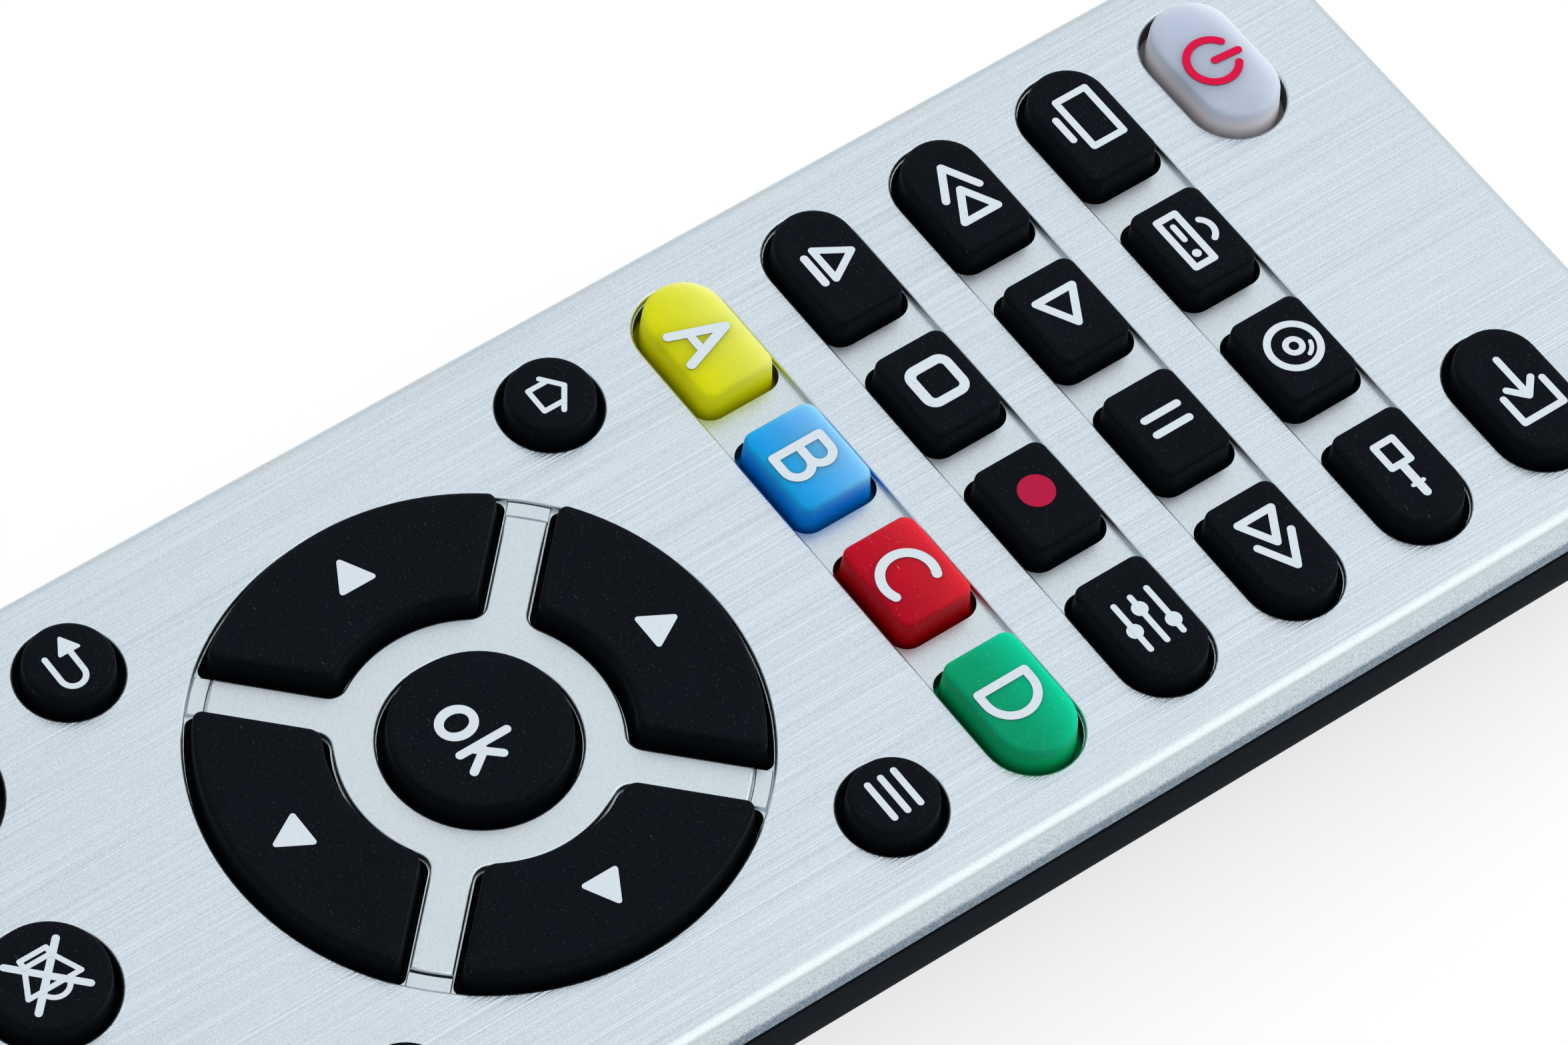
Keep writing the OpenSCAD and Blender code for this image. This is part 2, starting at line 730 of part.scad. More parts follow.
module battery_springs() {
    color([0.8, 0.8, 0.78])
    each_cell() translate([0, -bay_l / 2 + plate_t + spring_wire / 2 + touch_gap / 2, 0])
        polyhedron(spring_points, spring_faces);
}

module case_screws() {
    color([0.7, 0.7, 0.72])
    for (p = screw_places) translate([p[0], p[1], boss_z - seat_t]) difference() {
        union() {
            translate([0, 0, -head_t]) cylinder(h = head_t, r = head_r);
            cylinder(h = seat_t + shank_l, r = screw_r);
        }
        for (a = [0, 90]) rotate(a) translate([0, 0, -head_t])
            cube([cross_l, cross_w, 2 * cross_depth], center = true);
    }
}

// Keys

// Upright section of a key: straight below, sloped above the recess floor, bevelled at the top
function key_section(h) = let (top = h - key_draft)
    [[h, floor_z], [top, key_top_z - key_bevel], [top - key_bevel, key_top_z]];

module key_slab(h, depth) {
    half = key_section(h);
    rotate([90, 0, 0]) linear_extrude(depth, center = true)
        polygon(concat([[-h, flange_low], [h, flange_low]], half,
            [for (i = [2:-1:0]) [-half[i][0], half[i][1]]]));
}

// Cap of half sizes hx and hy: the outline given as child, with sloped and bevelled sides
module key_cap(hx, hy) {
    intersection() {
        translate([0, 0, flange_low]) linear_extrude(key_top_z - flange_low) children();
        key_slab(hx, 2 * hy + 2);
        rotate(90) key_slab(hy, 2 * hx + 2);
    }
}

module plunger(x, y) {
    translate([x, y, plunger_low]) cylinder(h = flange_low - plunger_low + eps, r = plunger_r);
}

module flange(hx, hy) {
    translate([-hx, -hy, flange_low]) cube([2 * hx, 2 * hy, flange_t]);
}

// A key of a row of n keys
module row_key(key, rows, n, pitch, w) {
    x0 = row_x0(key[2], n, pitch, w);
    x1 = row_x1(key[2], n, pitch, w);
    hx = (x1 - x0) / 2;
    hy = key_d / 2;
    color(key[3])
    translate([(x0 + x1) / 2, rows[key[1]], 0]) {
        key_cap(hx, hy) row_key_shape(-hx, hx, hy, key[2] == 0, key[2] == n - 1, key_corner);
        flange(hx + flange_w, hy + flange_w);
        plunger(0, 0);
    }
}

module round_key(key) {
    r = key[3];
    color(dark)
    translate([key[1], key[2], 0]) {
        rotate_extrude() polygon(concat(
            [[0, flange_low], [r + flange_w, flange_low], [r + flange_w, flange_top], [r, flange_top]],
            key_section(r), [[0, key_top_z]]));
        plunger(0, 0);
    }
}

module segment_key(key) {
    half = key_section(segment_out);
    color(dark)
    translate([0, pad_y, 0]) rotate(key[1]) {
        intersection() {
            translate([0, 0, flange_low]) linear_extrude(key_top_z - flange_low)
                segment_outline(segment_in - 1, segment_out + 1, segment_side);
            rotate_extrude() polygon(concat([[segment_in, flange_low], [segment_out, flange_low]], half,
                [for (i = [2:-1:0]) [segment_in + segment_out - half[i][0], half[i][1]]]));
        }
        translate([0, 0, flange_low]) linear_extrude(flange_t)
            segment_outline(segment_in - flange_w, segment_out + flange_w, segment_side - flange_w);
        plunger(segment_mid, 0);
    }
}

// A rocker tips about its middle, so only its middle has tabs under the face
module rocker_key(key) {
    hx = wide_w / 2;
    hy = rocker_l / 2;
    color(dark)
    translate([key[1], rocker_y, 0]) {
        key_cap(hx, hy) rotate(90) pill(hy, hx);
        flange(hx + flange_w, rocker_tab);
        for (s = [-1, 1]) plunger(0, s * rocker_reach);
    }
}

// The two keys that lie across the top
module top_key(x, plunger_x) {
    hx = wide_w / 2;
    hy = top_key_d / 2;
    translate([x, top_keys_y, 0]) {
        key_cap(hx, hy) pill(hx, hy);
        flange(hx + flange_w, hy + flange_w);
    }
    plunger(plunger_x, top_keys_y);
}

module key_power() { color([0.75, 0.77, 0.85]) top_key(-wide_x, power_plunger_x); }
module key_input() { color(dark) top_key(wide_x, wide_x); }

top_case();
bottom_case();
battery_door();
keypad_sheet();
circuit_board();
contact_pads();
controller_chip();
crystal();
capacitor();
ir_led();
ir_window();
indicator_led();
battery_cells();
battery_contacts();
battery_springs();
case_screws();
key_power();
key_input();
for (k = upper_keys) row_key(k, upper_rows, 4, key_pitch, key_w);
for (k = number_keys) row_key(k, number_rows, 3, number_pitch, number_w);
for (k = round_keys) round_key(k);
for (k = segment_keys) segment_key(k);
for (k = rocker_keys) rocker_key(k);
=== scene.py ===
"""Looks of a hand-held universal remote control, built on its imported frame.

The script models in millimetres and turns each finished mesh into metres. X is the
width, Y runs towards the top end and Z is up from the base, as in the frame.
"""

import math

import bmesh
import bpy
from mathutils import Matrix, Vector


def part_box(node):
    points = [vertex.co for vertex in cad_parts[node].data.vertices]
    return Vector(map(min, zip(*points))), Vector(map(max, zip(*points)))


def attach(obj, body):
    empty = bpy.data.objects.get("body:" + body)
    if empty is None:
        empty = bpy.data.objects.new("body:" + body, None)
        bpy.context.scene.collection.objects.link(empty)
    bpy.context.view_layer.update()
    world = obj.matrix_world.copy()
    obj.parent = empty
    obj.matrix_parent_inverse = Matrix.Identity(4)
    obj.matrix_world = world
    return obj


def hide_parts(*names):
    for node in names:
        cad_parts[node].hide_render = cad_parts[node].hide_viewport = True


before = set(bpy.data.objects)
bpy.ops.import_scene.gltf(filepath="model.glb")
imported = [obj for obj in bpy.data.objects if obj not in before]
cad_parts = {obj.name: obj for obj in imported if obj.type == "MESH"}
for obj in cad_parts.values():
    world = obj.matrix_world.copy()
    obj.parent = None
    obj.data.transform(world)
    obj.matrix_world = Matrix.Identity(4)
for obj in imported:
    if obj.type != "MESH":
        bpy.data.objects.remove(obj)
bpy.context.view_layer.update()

MM = 0.001


def node_box(node):
    """Lowest and highest corner of a node, in millimetres."""
    low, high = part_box(node)
    return low / MM, high / MM


# Sizes that the frame gives
CASE_HIGH = node_box("top_case")[1]
HALF_W = CASE_HIGH.x
HALF_L = CASE_HIGH.y
FACE_Z = CASE_HIGH.z
OK_LOW, OK_HIGH = node_box("key_ok")
KEY_TOP = OK_HIGH.z
PAD_Y = (OK_LOW.y + OK_HIGH.y) / 2

# Silver shell
CORNER_R = 4.5
CORNER_STEPS = 12
EDGE_R = 0.8
EDGE_STEPS = 8
SILVER_H = 4.15
WALL = 1.6
FACE_T = 1.8
PARTING_Z = FACE_Z - SILVER_H
UNDER_Z = FACE_Z - FACE_T
RECESS = 0.45
FLOOR_Z = FACE_Z - RECESS
LEDGE = 0.05
HOLE_EDGE = 0.16
HOLE_EDGE_STEPS = 3
FOOT_EDGE = 0.15
# Depth under the face down to which the side keeps its full tone, and from which it takes painted shade, the
# dark reflection of the floor's shadow
SIDE_FULL_TONE_DEPTH = 2.5
SIDE_SHADE_DEPTH = 3.1

# Keys
FLANGE_W = 0.9
FLANGE_T = 0.6
SEAT_GAP = 0.2
FLANGE_TOP = UNDER_Z - SEAT_GAP
FLANGE_LOW = FLANGE_TOP - FLANGE_T
KEY_GAP = 0.45
KEY_CORNER = 1.0
LEAST_CORNER = 0.1
# A cap's sides are straight up to this depth under the face, and slope above it
DRAFT_DEPTH = 0.6
KEY_DRAFT = 0.12
KEY_ROUND = 0.4
KEY_ROUND_STEPS = 5
# Crown of a cap's top: steps inwards and up
CROWN = ((0.25, 0.02), (0.3, 0.01))
PLUNGER_R = 1.5
POWER_PLUNGER_X = 2.5
ROCKER_PLUNGER_INSET = 4.0
ROCKER_SIGN_INSET = 4.6
# Ink: its height over the cap, the depth of its root, and the step between strokes that cross
PRINT = 0.03
PRINT_ROOT = 0.12
PRINT_STEP = 0.003

# Direction pad
PAD_R = 18.3
OK_R = (OK_HIGH.x - OK_LOW.x) / 2 - FLANGE_W
RING_W = 2.8
RING_OUT = OK_R + KEY_GAP + RING_W
ARM_ANGLE = 45
ARM_HALF = 1.4
ARM_END = 17.1
SEGMENT_IN_CORNER = 1.05
SEGMENT_OUT_CORNER = 0.7
FILLET_STEPS = 6
TIP_DROP = 0.2
TIP_Z = FACE_Z - TIP_DROP
TIP_GAP = 0.06
TIP_EDGE = 0.06

UPPER_ROWS = (
    ("key_a", "key_b", "key_c", "key_d"),
    ("key_eject", "key_stop", "key_record", "key_setup"),
    ("key_rewind", "key_play", "key_pause", "key_forward"),
    ("key_device_1", "key_device_2", "key_device_3", "key_device_4"),
)
NUMBER_ROWS = (
    ("key_1", "key_2", "key_3"),
    ("key_4", "key_5", "key_6"),
    ("key_7", "key_8", "key_9"),
    ("key_dash", "key_0", "key_enter"),
)
ROUND_KEYS = ("key_home", "key_menu", "key_back", "key_info", "key_ok", "key_mute", "key_last")
SEGMENT_KEYS = {"key_right": 0, "key_up": 90, "key_left": 180, "key_down": 270}
TOP_KEYS = ("key_power", "key_input")
ROCKERS = ("key_volume", "key_channel")


# Outlines: lists of (x, y), anticlockwise

# Points that lie nearer to each other than this are one point
SAME_POINT = 1e-5


def arc(cx, cy, r, start, stop, steps=8):
    """Points of an arc between two angles in degrees, both ends included."""
    turns = [math.radians(start + (stop - start) * i / steps) for i in range(steps + 1)]
    return [(cx + r * math.cos(a), cy + r * math.sin(a)) for a in turns]


def without_repeats(points):
    """The same outline without points that repeat."""
    kept = []
    for p in points:
        if not kept or math.dist(p, kept[-1]) > SAME_POINT:
            kept.append(p)
    if math.dist(kept[0], kept[-1]) < SAME_POINT:
        kept.pop()
    return kept


def angle_of(x, y):
    """Direction of a point from the origin, in degrees."""
    return math.degrees(math.atan2(y, x))


def turned(points, angle, cx=0.0, cy=0.0):
    """Points turned about the origin, then moved."""
    c = math.cos(math.radians(angle))
    s = math.sin(math.radians(angle))
    return [(cx + c * x - s * y, cy + s * x + c * y) for x, y in points]


def circle(cx, cy, r, steps=64):
    return arc(cx, cy, r, 0, 360, steps)[:-1]


def oval(cx, cy, rx, ry, steps=48):
    return [(cx + x * rx, cy + y * ry) for x, y in circle(0, 0, 1, steps)]


def soft_box(x0, x1, y0, y1, r_left, r_right, steps=10):
    """Box with round corners, of one radius at its left end and one at its right."""
    return without_repeats(
        arc(x1 - r_right, y0 + r_right, r_right, -90, 0, steps)
        + arc(x1 - r_right, y1 - r_right, r_right, 0, 90, steps)
        + arc(x0 + r_left, y1 - r_left, r_left, 90, 180, steps)
        + arc(x0 + r_left, y0 + r_left, r_left, 180, 270, steps)
    )


def upper_side(r_in, r_out, side, c_in, c_out):
    """Outer fillet, straight side and inner fillet of a pad segment around +X, from outside to inside."""
    def centre(r, across):
        along = math.sqrt(r * r - across * across)
        return turned([(along, -across)], ARM_ANGLE)[0]

    outer = centre(r_out - c_out, side + c_out)
    inner = centre(r_in + c_in, side + c_in)
    across_arm = ARM_ANGLE + 90
    return (arc(*outer, c_out, angle_of(*outer), across_arm, FILLET_STEPS)
            + arc(*inner, c_in, across_arm, 180 + angle_of(*inner), FILLET_STEPS))


def segment(r_in, r_out, side, c_in, c_out, steps=28):
    """Ring segment around +X between two diagonal arms, with round corners."""
    upper = upper_side(r_in, r_out, side, c_in, c_out)
    lower = [(x, -y) for x, y in reversed(upper)]
    out_angle = angle_of(*upper[0])
    in_angle = angle_of(*upper[-1])
    return without_repeats(
        arc(0, 0, r_out, -out_angle, out_angle, steps) + upper
        + arc(0, 0, r_in, in_angle, -in_angle, steps) + lower
    )


def bar(x0, y0, x1, y1, w):
    """Stroke with round ends."""
    angle = angle_of(x1 - x0, y1 - y0)
    return arc(x1, y1, w / 2, angle - 90, angle + 90) + arc(x0, y0, w / 2, angle + 90, angle + 270)


def band(cx, cy, r, start, stop, w, steps=24):
    """Stroke along an arc, with round ends."""
    first, last = arc(cx, cy, r, start, stop, steps=1)
    return without_repeats(
        arc(cx, cy, r + w / 2, start, stop, steps) + arc(*last, w / 2, stop, stop + 180)
        + arc(cx, cy, r - w / 2, stop, start, steps) + arc(*first, w / 2, start + 180, start + 360)
    )


def hoop(cx, cy, r, w):
    """Closed ring: its outer and inner outline."""
    return circle(cx, cy, r + w / 2, steps=40), circle(cx, cy, r - w / 2, steps=40)


def path(points, w, closed=False):
    """Strokes from point to point."""
    ends = list(zip(points, points[1:])) + ([(points[-1], points[0])] if closed else [])
    return [bar(*p, *q, w) for p, q in ends]


def soft_triangle(x, y, reach, half, angle, r):
    """Solid triangle with round corners: its base lies on (x, y) and it points along the angle."""
    corners = [Vector((0, -half)), Vector((reach, 0)), Vector((0, half))]
    points = []
    for i, corner in enumerate(corners):
        before = (corners[i - 1] - corner).normalized()
        after = (corners[(i + 1) % 3] - corner).normalized()
        middle = (before + after).normalized()
        centre = corner + middle * r / math.sin(before.angle(after) / 2)
        sweep = 180 - math.degrees(before.angle(after))
        turn = angle_of(*-middle)
        points += arc(*centre, r, turn - sweep / 2, turn + sweep / 2, FILLET_STEPS)
    return turned(points, angle, x, y)


# Mesh steps

# Edges that turn by more degrees than this are shaded sharp
SHARP_ANGLE = 38


def loop_through(bm, places):
    """Closed loop of edges through points in space."""
    verts = [bm.verts.new(place) for place in places]
    return [bm.edges.new(pair) for pair in zip(verts, verts[1:] + verts[:1])]


def join_loops(bm, first, second, material=0):
    """Band of faces between two loops, shaded smooth."""
    for face in bmesh.ops.bridge_loops(bm, edges=first + second)["faces"]:
        face.material_index = material
        face.smooth = True


def skin(bm, outline, profile, material=0, last_material=None):
    """Wall over an outline that grows and climbs as the profile says. Returns its first and last loops."""
    loops = [loop_through(bm, [(x, y, z) for x, y in outline(grow)]) for grow, z in profile]
    bands = list(zip(loops, loops[1:]))
    for low, high in bands[:-1]:
        join_loops(bm, low, high, material)
    join_loops(bm, *bands[-1], material if last_material is None else last_material)
    return loops[0], loops[-1]


def fill(bm, edges, material=0):
    """Flat face between loops, with holes where loops lie inside the first."""
    made = bmesh.ops.triangle_fill(bm, edges=edges, use_beauty=True, use_dissolve=False)
    for item in made["geom"]:
        if isinstance(item, bmesh.types.BMFace):
            item.material_index = material
            item.smooth = False


def cap(bm, edges, material=0):
    """One flat face on a loop."""
    face = bmesh.ops.contextual_create(bm, geom=edges)["faces"][0]
    face.material_index = material
    face.smooth = False


def prism(bm, outline, profile, material=0):
    """Closed solid over an outline."""
    low, high = skin(bm, outline, profile, material)
    cap(bm, low, material)
    cap(bm, high, material)


def quarter(grow, z, r, steps):
    """Profile of a quarter round that ends flat: inwards by r while it climbs by r."""
    angles = [math.radians(90 * i / steps) for i in range(steps + 1)]
    return [(grow - r * (1 - math.cos(a)), z + r * math.sin(a)) for a in angles]


def finish_piece(bm, name, body, materials, replaces):
    """Makes the mesh an object in metres, and lets it ride on its body."""
    bmesh.ops.recalc_face_normals(bm, faces=bm.faces)
    bmesh.ops.scale(bm, vec=(MM, MM, MM), verts=bm.verts)
    for edge in bm.edges:
        edge.smooth = edge.calc_face_angle(0.0) < math.radians(SHARP_ANGLE)
    mesh = bpy.data.meshes.new(name)
    bm.to_mesh(mesh)
    bm.free()
    for material in materials:
        mesh.materials.append(material)
    piece = bpy.data.objects.new(name, mesh)
    bpy.context.scene.collection.objects.link(piece)
    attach(piece, body)
    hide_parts(*replaces)


# Places of the keys: an outline here is a function that gives the outline grown by g


def key_cap(node):
    """Left, right, lower and upper side of a key's cap, without its flange."""
    low, high = node_box(node)
    return low.x + FLANGE_W, high.x - FLANGE_W, low.y + FLANGE_W, high.y - FLANGE_W


def key_middle(node):
    low, high = node_box(node)
    return (low.x + high.x) / 2, (low.y + high.y) / 2


def half_length(node):
    """Half of a rocker's length. Only its tabs reach past its cap, and only across."""
    low, high = node_box(node)
    return (high.y - low.y) / 2


def grown(outline, by):
    """The same outline, grown by a fixed amount."""
    return lambda g: outline(g + by)


def pill_outline(x0, x1, y0, y1, steps=10):
    """Box that lies across, with both ends half round."""
    r = (y1 - y0) / 2
    return lambda g: soft_box(x0 - g, x1 + g, y0 - g, y1 + g, r + g, r + g, steps)


def row_recess_outline(row):
    x0, _, y0, y1 = key_cap(row[0])
    x1 = key_cap(row[-1])[1]
    return pill_outline(x0, x1, y0, y1)


def row_key_outline(row, node):
    """Key in a row: the first and last have a half-round outer end."""
    x0, x1, y0, y1 = key_cap(node)
    half = (y1 - y0) / 2
    r_left = half if node == row[0] else KEY_CORNER
    r_right = half if node == row[-1] else KEY_CORNER
    return lambda g: soft_box(x0 - g, x1 + g, y0 - g, y1 + g,
                              max(r_left + g, LEAST_CORNER), max(r_right + g, LEAST_CORNER))


def rocker_outline(node):
    """Long cap with both ends half round."""
    x0, x1, _, _ = key_cap(node)
    half = (x1 - x0) / 2
    reach = half_length(node)
    lying = pill_outline(-reach, reach, -half, half, steps=16)
    return lambda g: turned(lying(g), 90, *key_middle(node))


def round_outline(node):
    x0, x1, _, _ = key_cap(node)
    x, y = key_middle(node)
    r = (x1 - x0) / 2
    return lambda g: circle(x, y, r + g)


def segment_outline(angle, gap):
    """Pad segment, or its hole where the gap is 0."""
    def outline(g):
        by = g - gap
        c_in = max(SEGMENT_IN_CORNER + g, LEAST_CORNER)
        c_out = max(SEGMENT_OUT_CORNER + g, LEAST_CORNER)
        return turned(segment(RING_OUT - by, PAD_R + by, ARM_HALF - by, c_in, c_out), angle, 0, PAD_Y)

    return outline


KEY_OUTLINES = {}
for key_row in UPPER_ROWS + NUMBER_ROWS:
    for key_name in key_row:
        KEY_OUTLINES[key_name] = row_key_outline(key_row, key_name)
for key_name in ROUND_KEYS:
    KEY_OUTLINES[key_name] = round_outline(key_name)
for key_name in TOP_KEYS:
    KEY_OUTLINES[key_name] = pill_outline(*key_cap(key_name))
for key_name in ROCKERS:
    KEY_OUTLINES[key_name] = rocker_outline(key_name)
for key_name, key_angle in SEGMENT_KEYS.items():
    KEY_OUTLINES[key_name] = segment_outline(key_angle, KEY_GAP)


# Shader nodes


def linear(r, g, b):
    """Shader colour of a screen colour from 0 to 255."""
    parts = [c / 255 for c in (r, g, b)]
    return tuple(c / 12.92 if c <= 0.04045 else ((c + 0.055) / 1.055) ** 2.4 for c in parts) + (1.0,)


def shifted(colour, by, plus=0.0):
    """Colour scaled and then lifted, up to white."""
    return tuple(min(1.0, c * by + plus) for c in colour[:3]) + (1.0,)


def add_node(tree, kind, values=None, **settings):
    """New node with its settings and input values."""
    made = tree.nodes.new(kind)
    for label, value in settings.items():
        setattr(made, label, value)
    for label, value in (values or {}).items():
        made.inputs[label].default_value = value
    return made


def feed(tree, value, socket):
    """Links a value that is a socket, or sets one that is a number or a colour."""
    if isinstance(value, bpy.types.NodeSocket):
        tree.links.new(value, socket)
    else:
        socket.default_value = value


def math_node(tree, operation, a, b):
    """Math node on sockets or numbers."""
    made = add_node(tree, "ShaderNodeMath", operation=operation)
    feed(tree, a, made.inputs[0])
    feed(tree, b, made.inputs[1])
    return made.outputs[0]


def mix_colour(tree, factor, a, b, blend="MIX"):
    """Mix of two colours or colour sockets, which are the node's inputs 6 and 7."""
    made = add_node(tree, "ShaderNodeMix", data_type="RGBA", blend_type=blend)
    for value, index in ((factor, 0), (a, 6), (b, 7)):
        feed(tree, value, made.inputs[index])
    return made.outputs[2]


def map_range(tree, value, low, high, to_low=0.0, to_high=1.0):
    """Value from one range in another, held at its ends."""
    made = add_node(tree, "ShaderNodeMapRange", {1: low, 2: high, 3: to_low, 4: to_high})
    tree.links.new(value, made.inputs[0])
    return made.outputs[0]


def noise(tree, vector, scale, detail=2.0, roughness=0.5):
    made = add_node(tree, "ShaderNodeTexNoise", {"Detail": detail, "Roughness": roughness})
    feed(tree, scale, made.inputs["Scale"])
    tree.links.new(vector, made.inputs["Vector"])
    return made.outputs["Fac"]


def stretched(tree, vector, scale, turn=0.0):
    """Coordinates scaled by axis, then turned about Z."""
    made = add_node(tree, "ShaderNodeMapping", {"Scale": scale, "Rotation": (0, 0, math.radians(turn))})
    tree.links.new(vector, made.inputs["Vector"])
    return made.outputs[0]


def split_axes(tree, vector):
    """X, Y and Z of a vector."""
    made = add_node(tree, "ShaderNodeSeparateXYZ")
    tree.links.new(vector, made.inputs[0])
    return made.outputs


def dots(tree, vector, scale, edge, core):
    """Soft dots in random cells: their mask, and three random values for each cell."""
    cells = add_node(tree, "ShaderNodeTexVoronoi", {"Scale": scale})
    tree.links.new(vector, cells.inputs["Vector"])
    chance = add_node(tree, "ShaderNodeSeparateColor")
    tree.links.new(cells.outputs["Color"], chance.inputs[0])
    return map_range(tree, cells.outputs["Distance"], edge, core), chance.outputs


# Shared effects

# Brush lines: how dense they are across and along, and their share of the pattern
BRUSH_LINES = ((5800, 40, 0.6), (3000, 11, 0.3), (900, 4, 0.1))
# Lint: cells by axis, their turn, and how many there are beside the specks
LINT_CELLS = (420, 2600, 900)
LINT_TURN = 37
LINT_SHARE = 0.3


def new_group(name, outputs, **numbers):
    """Shader group with a vector and numbers as inputs, and numbers as outputs."""
    group = bpy.data.node_groups.new(name, "ShaderNodeTree")
    group.interface.new_socket("Vector", in_out="INPUT", socket_type="NodeSocketVector")
    for label, value in numbers.items():
        socket = group.interface.new_socket(label, in_out="INPUT", socket_type="NodeSocketFloat")
        socket.default_value = value
    for label in outputs:
        group.interface.new_socket(label, in_out="OUTPUT", socket_type="NodeSocketFloat")
    return group, group.nodes.new("NodeGroupInput").outputs, group.nodes.new("NodeGroupOutput").inputs


def brush_group():
    """Straight brush lines along Y: a tone from 0 to 1 around the middle, and a height for bump."""
    group, given, result = new_group("brush_lines", ("Tone", "Height"))
    height = 0.0
    for across, along, share in BRUSH_LINES:
        lines = noise(group, stretched(group, given["Vector"], (across, along, 1)), 1.0, roughness=0.6)
        height = math_node(group, "ADD", height, math_node(group, "MULTIPLY", lines, share))
    group.links.new(map_range(group, height, 0.36, 0.64), result["Tone"])
    group.links.new(height, result["Height"])
    return group


def grain_group():
    """Fine speckle of paint or moulded texture: a tone and a height."""
    group, given, result = new_group("grain", ("Tone", "Height"), Scale=6000.0)
    speckle = noise(group, given["Vector"], given["Scale"], roughness=0.6)
    group.links.new(map_range(group, speckle, 0.3, 0.7), result["Tone"])
    group.links.new(speckle, result["Height"])
    return group


def dust_group():
    """Specks of dust and short lint fibres: one mask."""
    group, given, result = new_group("dust", ("Mask",), Amount=0.5)
    near, chance = dots(group, given["Vector"], 4000.0, 0.18, 0.07)
    rare = math_node(group, "LESS_THAN", chance[0], given["Amount"])
    bright = map_range(group, chance[2], 0.0, 1.0, 0.2, 1.0)
    speck = math_node(group, "MULTIPLY", math_node(group, "MULTIPLY", near, rare), bright)
    lint_at = stretched(group, given["Vector"], LINT_CELLS, LINT_TURN)
    thin, chance = dots(group, lint_at, 1.0, 0.09, 0.03)
    lint_amount = math_node(group, "MULTIPLY", given["Amount"], LINT_SHARE)
    lint = math_node(group, "MULTIPLY", thin, math_node(group, "LESS_THAN", chance[1], lint_amount))
    group.links.new(math_node(group, "MAXIMUM", speck, lint), result["Mask"])
    return group


BRUSH = brush_group()
GRAIN = grain_group()
DUST = dust_group()


def use_group(tree, group, coordinates, **values):
    """Outputs of a shared effect, placed in a material with its own values."""
    made = add_node(tree, "ShaderNodeGroup", node_tree=group)
    tree.links.new(coordinates, made.inputs["Vector"])
    for label, value in values.items():
        made.inputs[label].default_value = value
    return made.outputs


# Materials

# Part of the speckle that is left on top of the shell's rounded edge
EDGE_SPECKLE = 0.2
# Depth under a key's top at which the painted glow colour of its sides begins, and at which it is full
SIDE_GLOW_FROM = 0.2
SIDE_GLOW_FULL = 1.2


def new_material(name, **constants):
    """Material with a Principled shader, its constants set on the shader's own sockets."""
    material = bpy.data.materials.new(name)
    material.use_nodes = True
    tree = material.node_tree
    shader = tree.nodes["Principled BSDF"]
    for label, value in constants.items():
        shader.inputs[label.replace("_", " ")].default_value = value
    coordinates = tree.nodes.new("ShaderNodeTexCoord").outputs["Object"]
    return material, tree, shader, coordinates


def finish_shader(tree, shader, colour, roughness, height, strength, distance):
    """Gives a shader its colour, roughness and bump."""
    feed(tree, colour, shader.inputs["Base Color"])
    feed(tree, roughness, shader.inputs["Roughness"])
    bump = add_node(tree, "ShaderNodeBump", {"Strength": strength, "Distance": distance})
    tree.links.new(height, bump.inputs["Height"])
    tree.links.new(bump.outputs[0], shader.inputs["Normal"])


def silver_face():
    """Brushed silver face: bright and dark lines, with the sparkle of metallic paint."""
    material, tree, shader, at = new_material("silver_face", Metallic=1.0)
    lines = use_group(tree, BRUSH, at)
    sparkle = use_group(tree, GRAIN, at, Scale=8000.0)
    brushed = mix_colour(tree, lines["Tone"], linear(182, 196, 207), linear(207, 220, 230))
    glint = math_node(tree, "MULTIPLY", sparkle["Tone"], 0.55)
    colour = mix_colour(tree, glint, brushed, linear(232, 239, 245))
    roughness = map_range(tree, lines["Tone"], 0, 1, 0.3, 0.22)
    height = math_node(tree, "ADD", lines["Height"], math_node(tree, "MULTIPLY", sparkle["Height"], 0.25))
    finish_shader(tree, shader, colour, roughness, height, strength=0.5, distance=0.00008)
    return material


def silver_paint(name, tone=1.0, metallic=1.0, speckle=0.7):
    """Sprayed metallic paint, smooth at the rounded edge, with painted shade low on the sides: dark grey-blue
    for the floor's shadow seen in reflection.
    """
    material, tree, shader, at = new_material(name, Metallic=metallic)
    grain = use_group(tree, GRAIN, at, Scale=9500.0)
    z = split_axes(tree, at)["Z"]
    edge_low = (FACE_Z - EDGE_R) * MM
    edge_high = (FACE_Z - EDGE_R / 3) * MM
    rough = map_range(tree, z, edge_low, edge_high, speckle, EDGE_SPECKLE)
    centred = math_node(tree, "SUBTRACT", grain["Tone"], 0.5)
    flakes = math_node(tree, "ADD", math_node(tree, "MULTIPLY", centred, rough), 0.5)
    unshaded = map_range(tree, z, (FACE_Z - SIDE_SHADE_DEPTH) * MM, (FACE_Z - SIDE_FULL_TONE_DEPTH) * MM)
    patchy = math_node(tree, "ADD", unshaded, map_range(tree, flakes, 0, 1, -0.3, 0.3))
    # thin holds the painted shade low on the side: dark grey-blue for the shadowed floor the side reflects
    thin = mix_colour(tree, flakes, linear(58, 78, 95), linear(146, 166, 184))
    full = mix_colour(tree, flakes, linear(168, 180, 188), linear(236, 247, 253))
    colour = mix_colour(tree, map_range(tree, patchy, 0, 1), thin, full)
    toned = mix_colour(tree, 1.0, colour, (tone, tone, tone, 1.0), "MULTIPLY")
    roughness = map_range(tree, flakes, 0, 1, 0.42, 0.3)
    height = math_node(tree, "MULTIPLY", grain["Height"], rough)
    finish_shader(tree, shader, toned, roughness, height, strength=0.25, distance=0.00002)
    return material


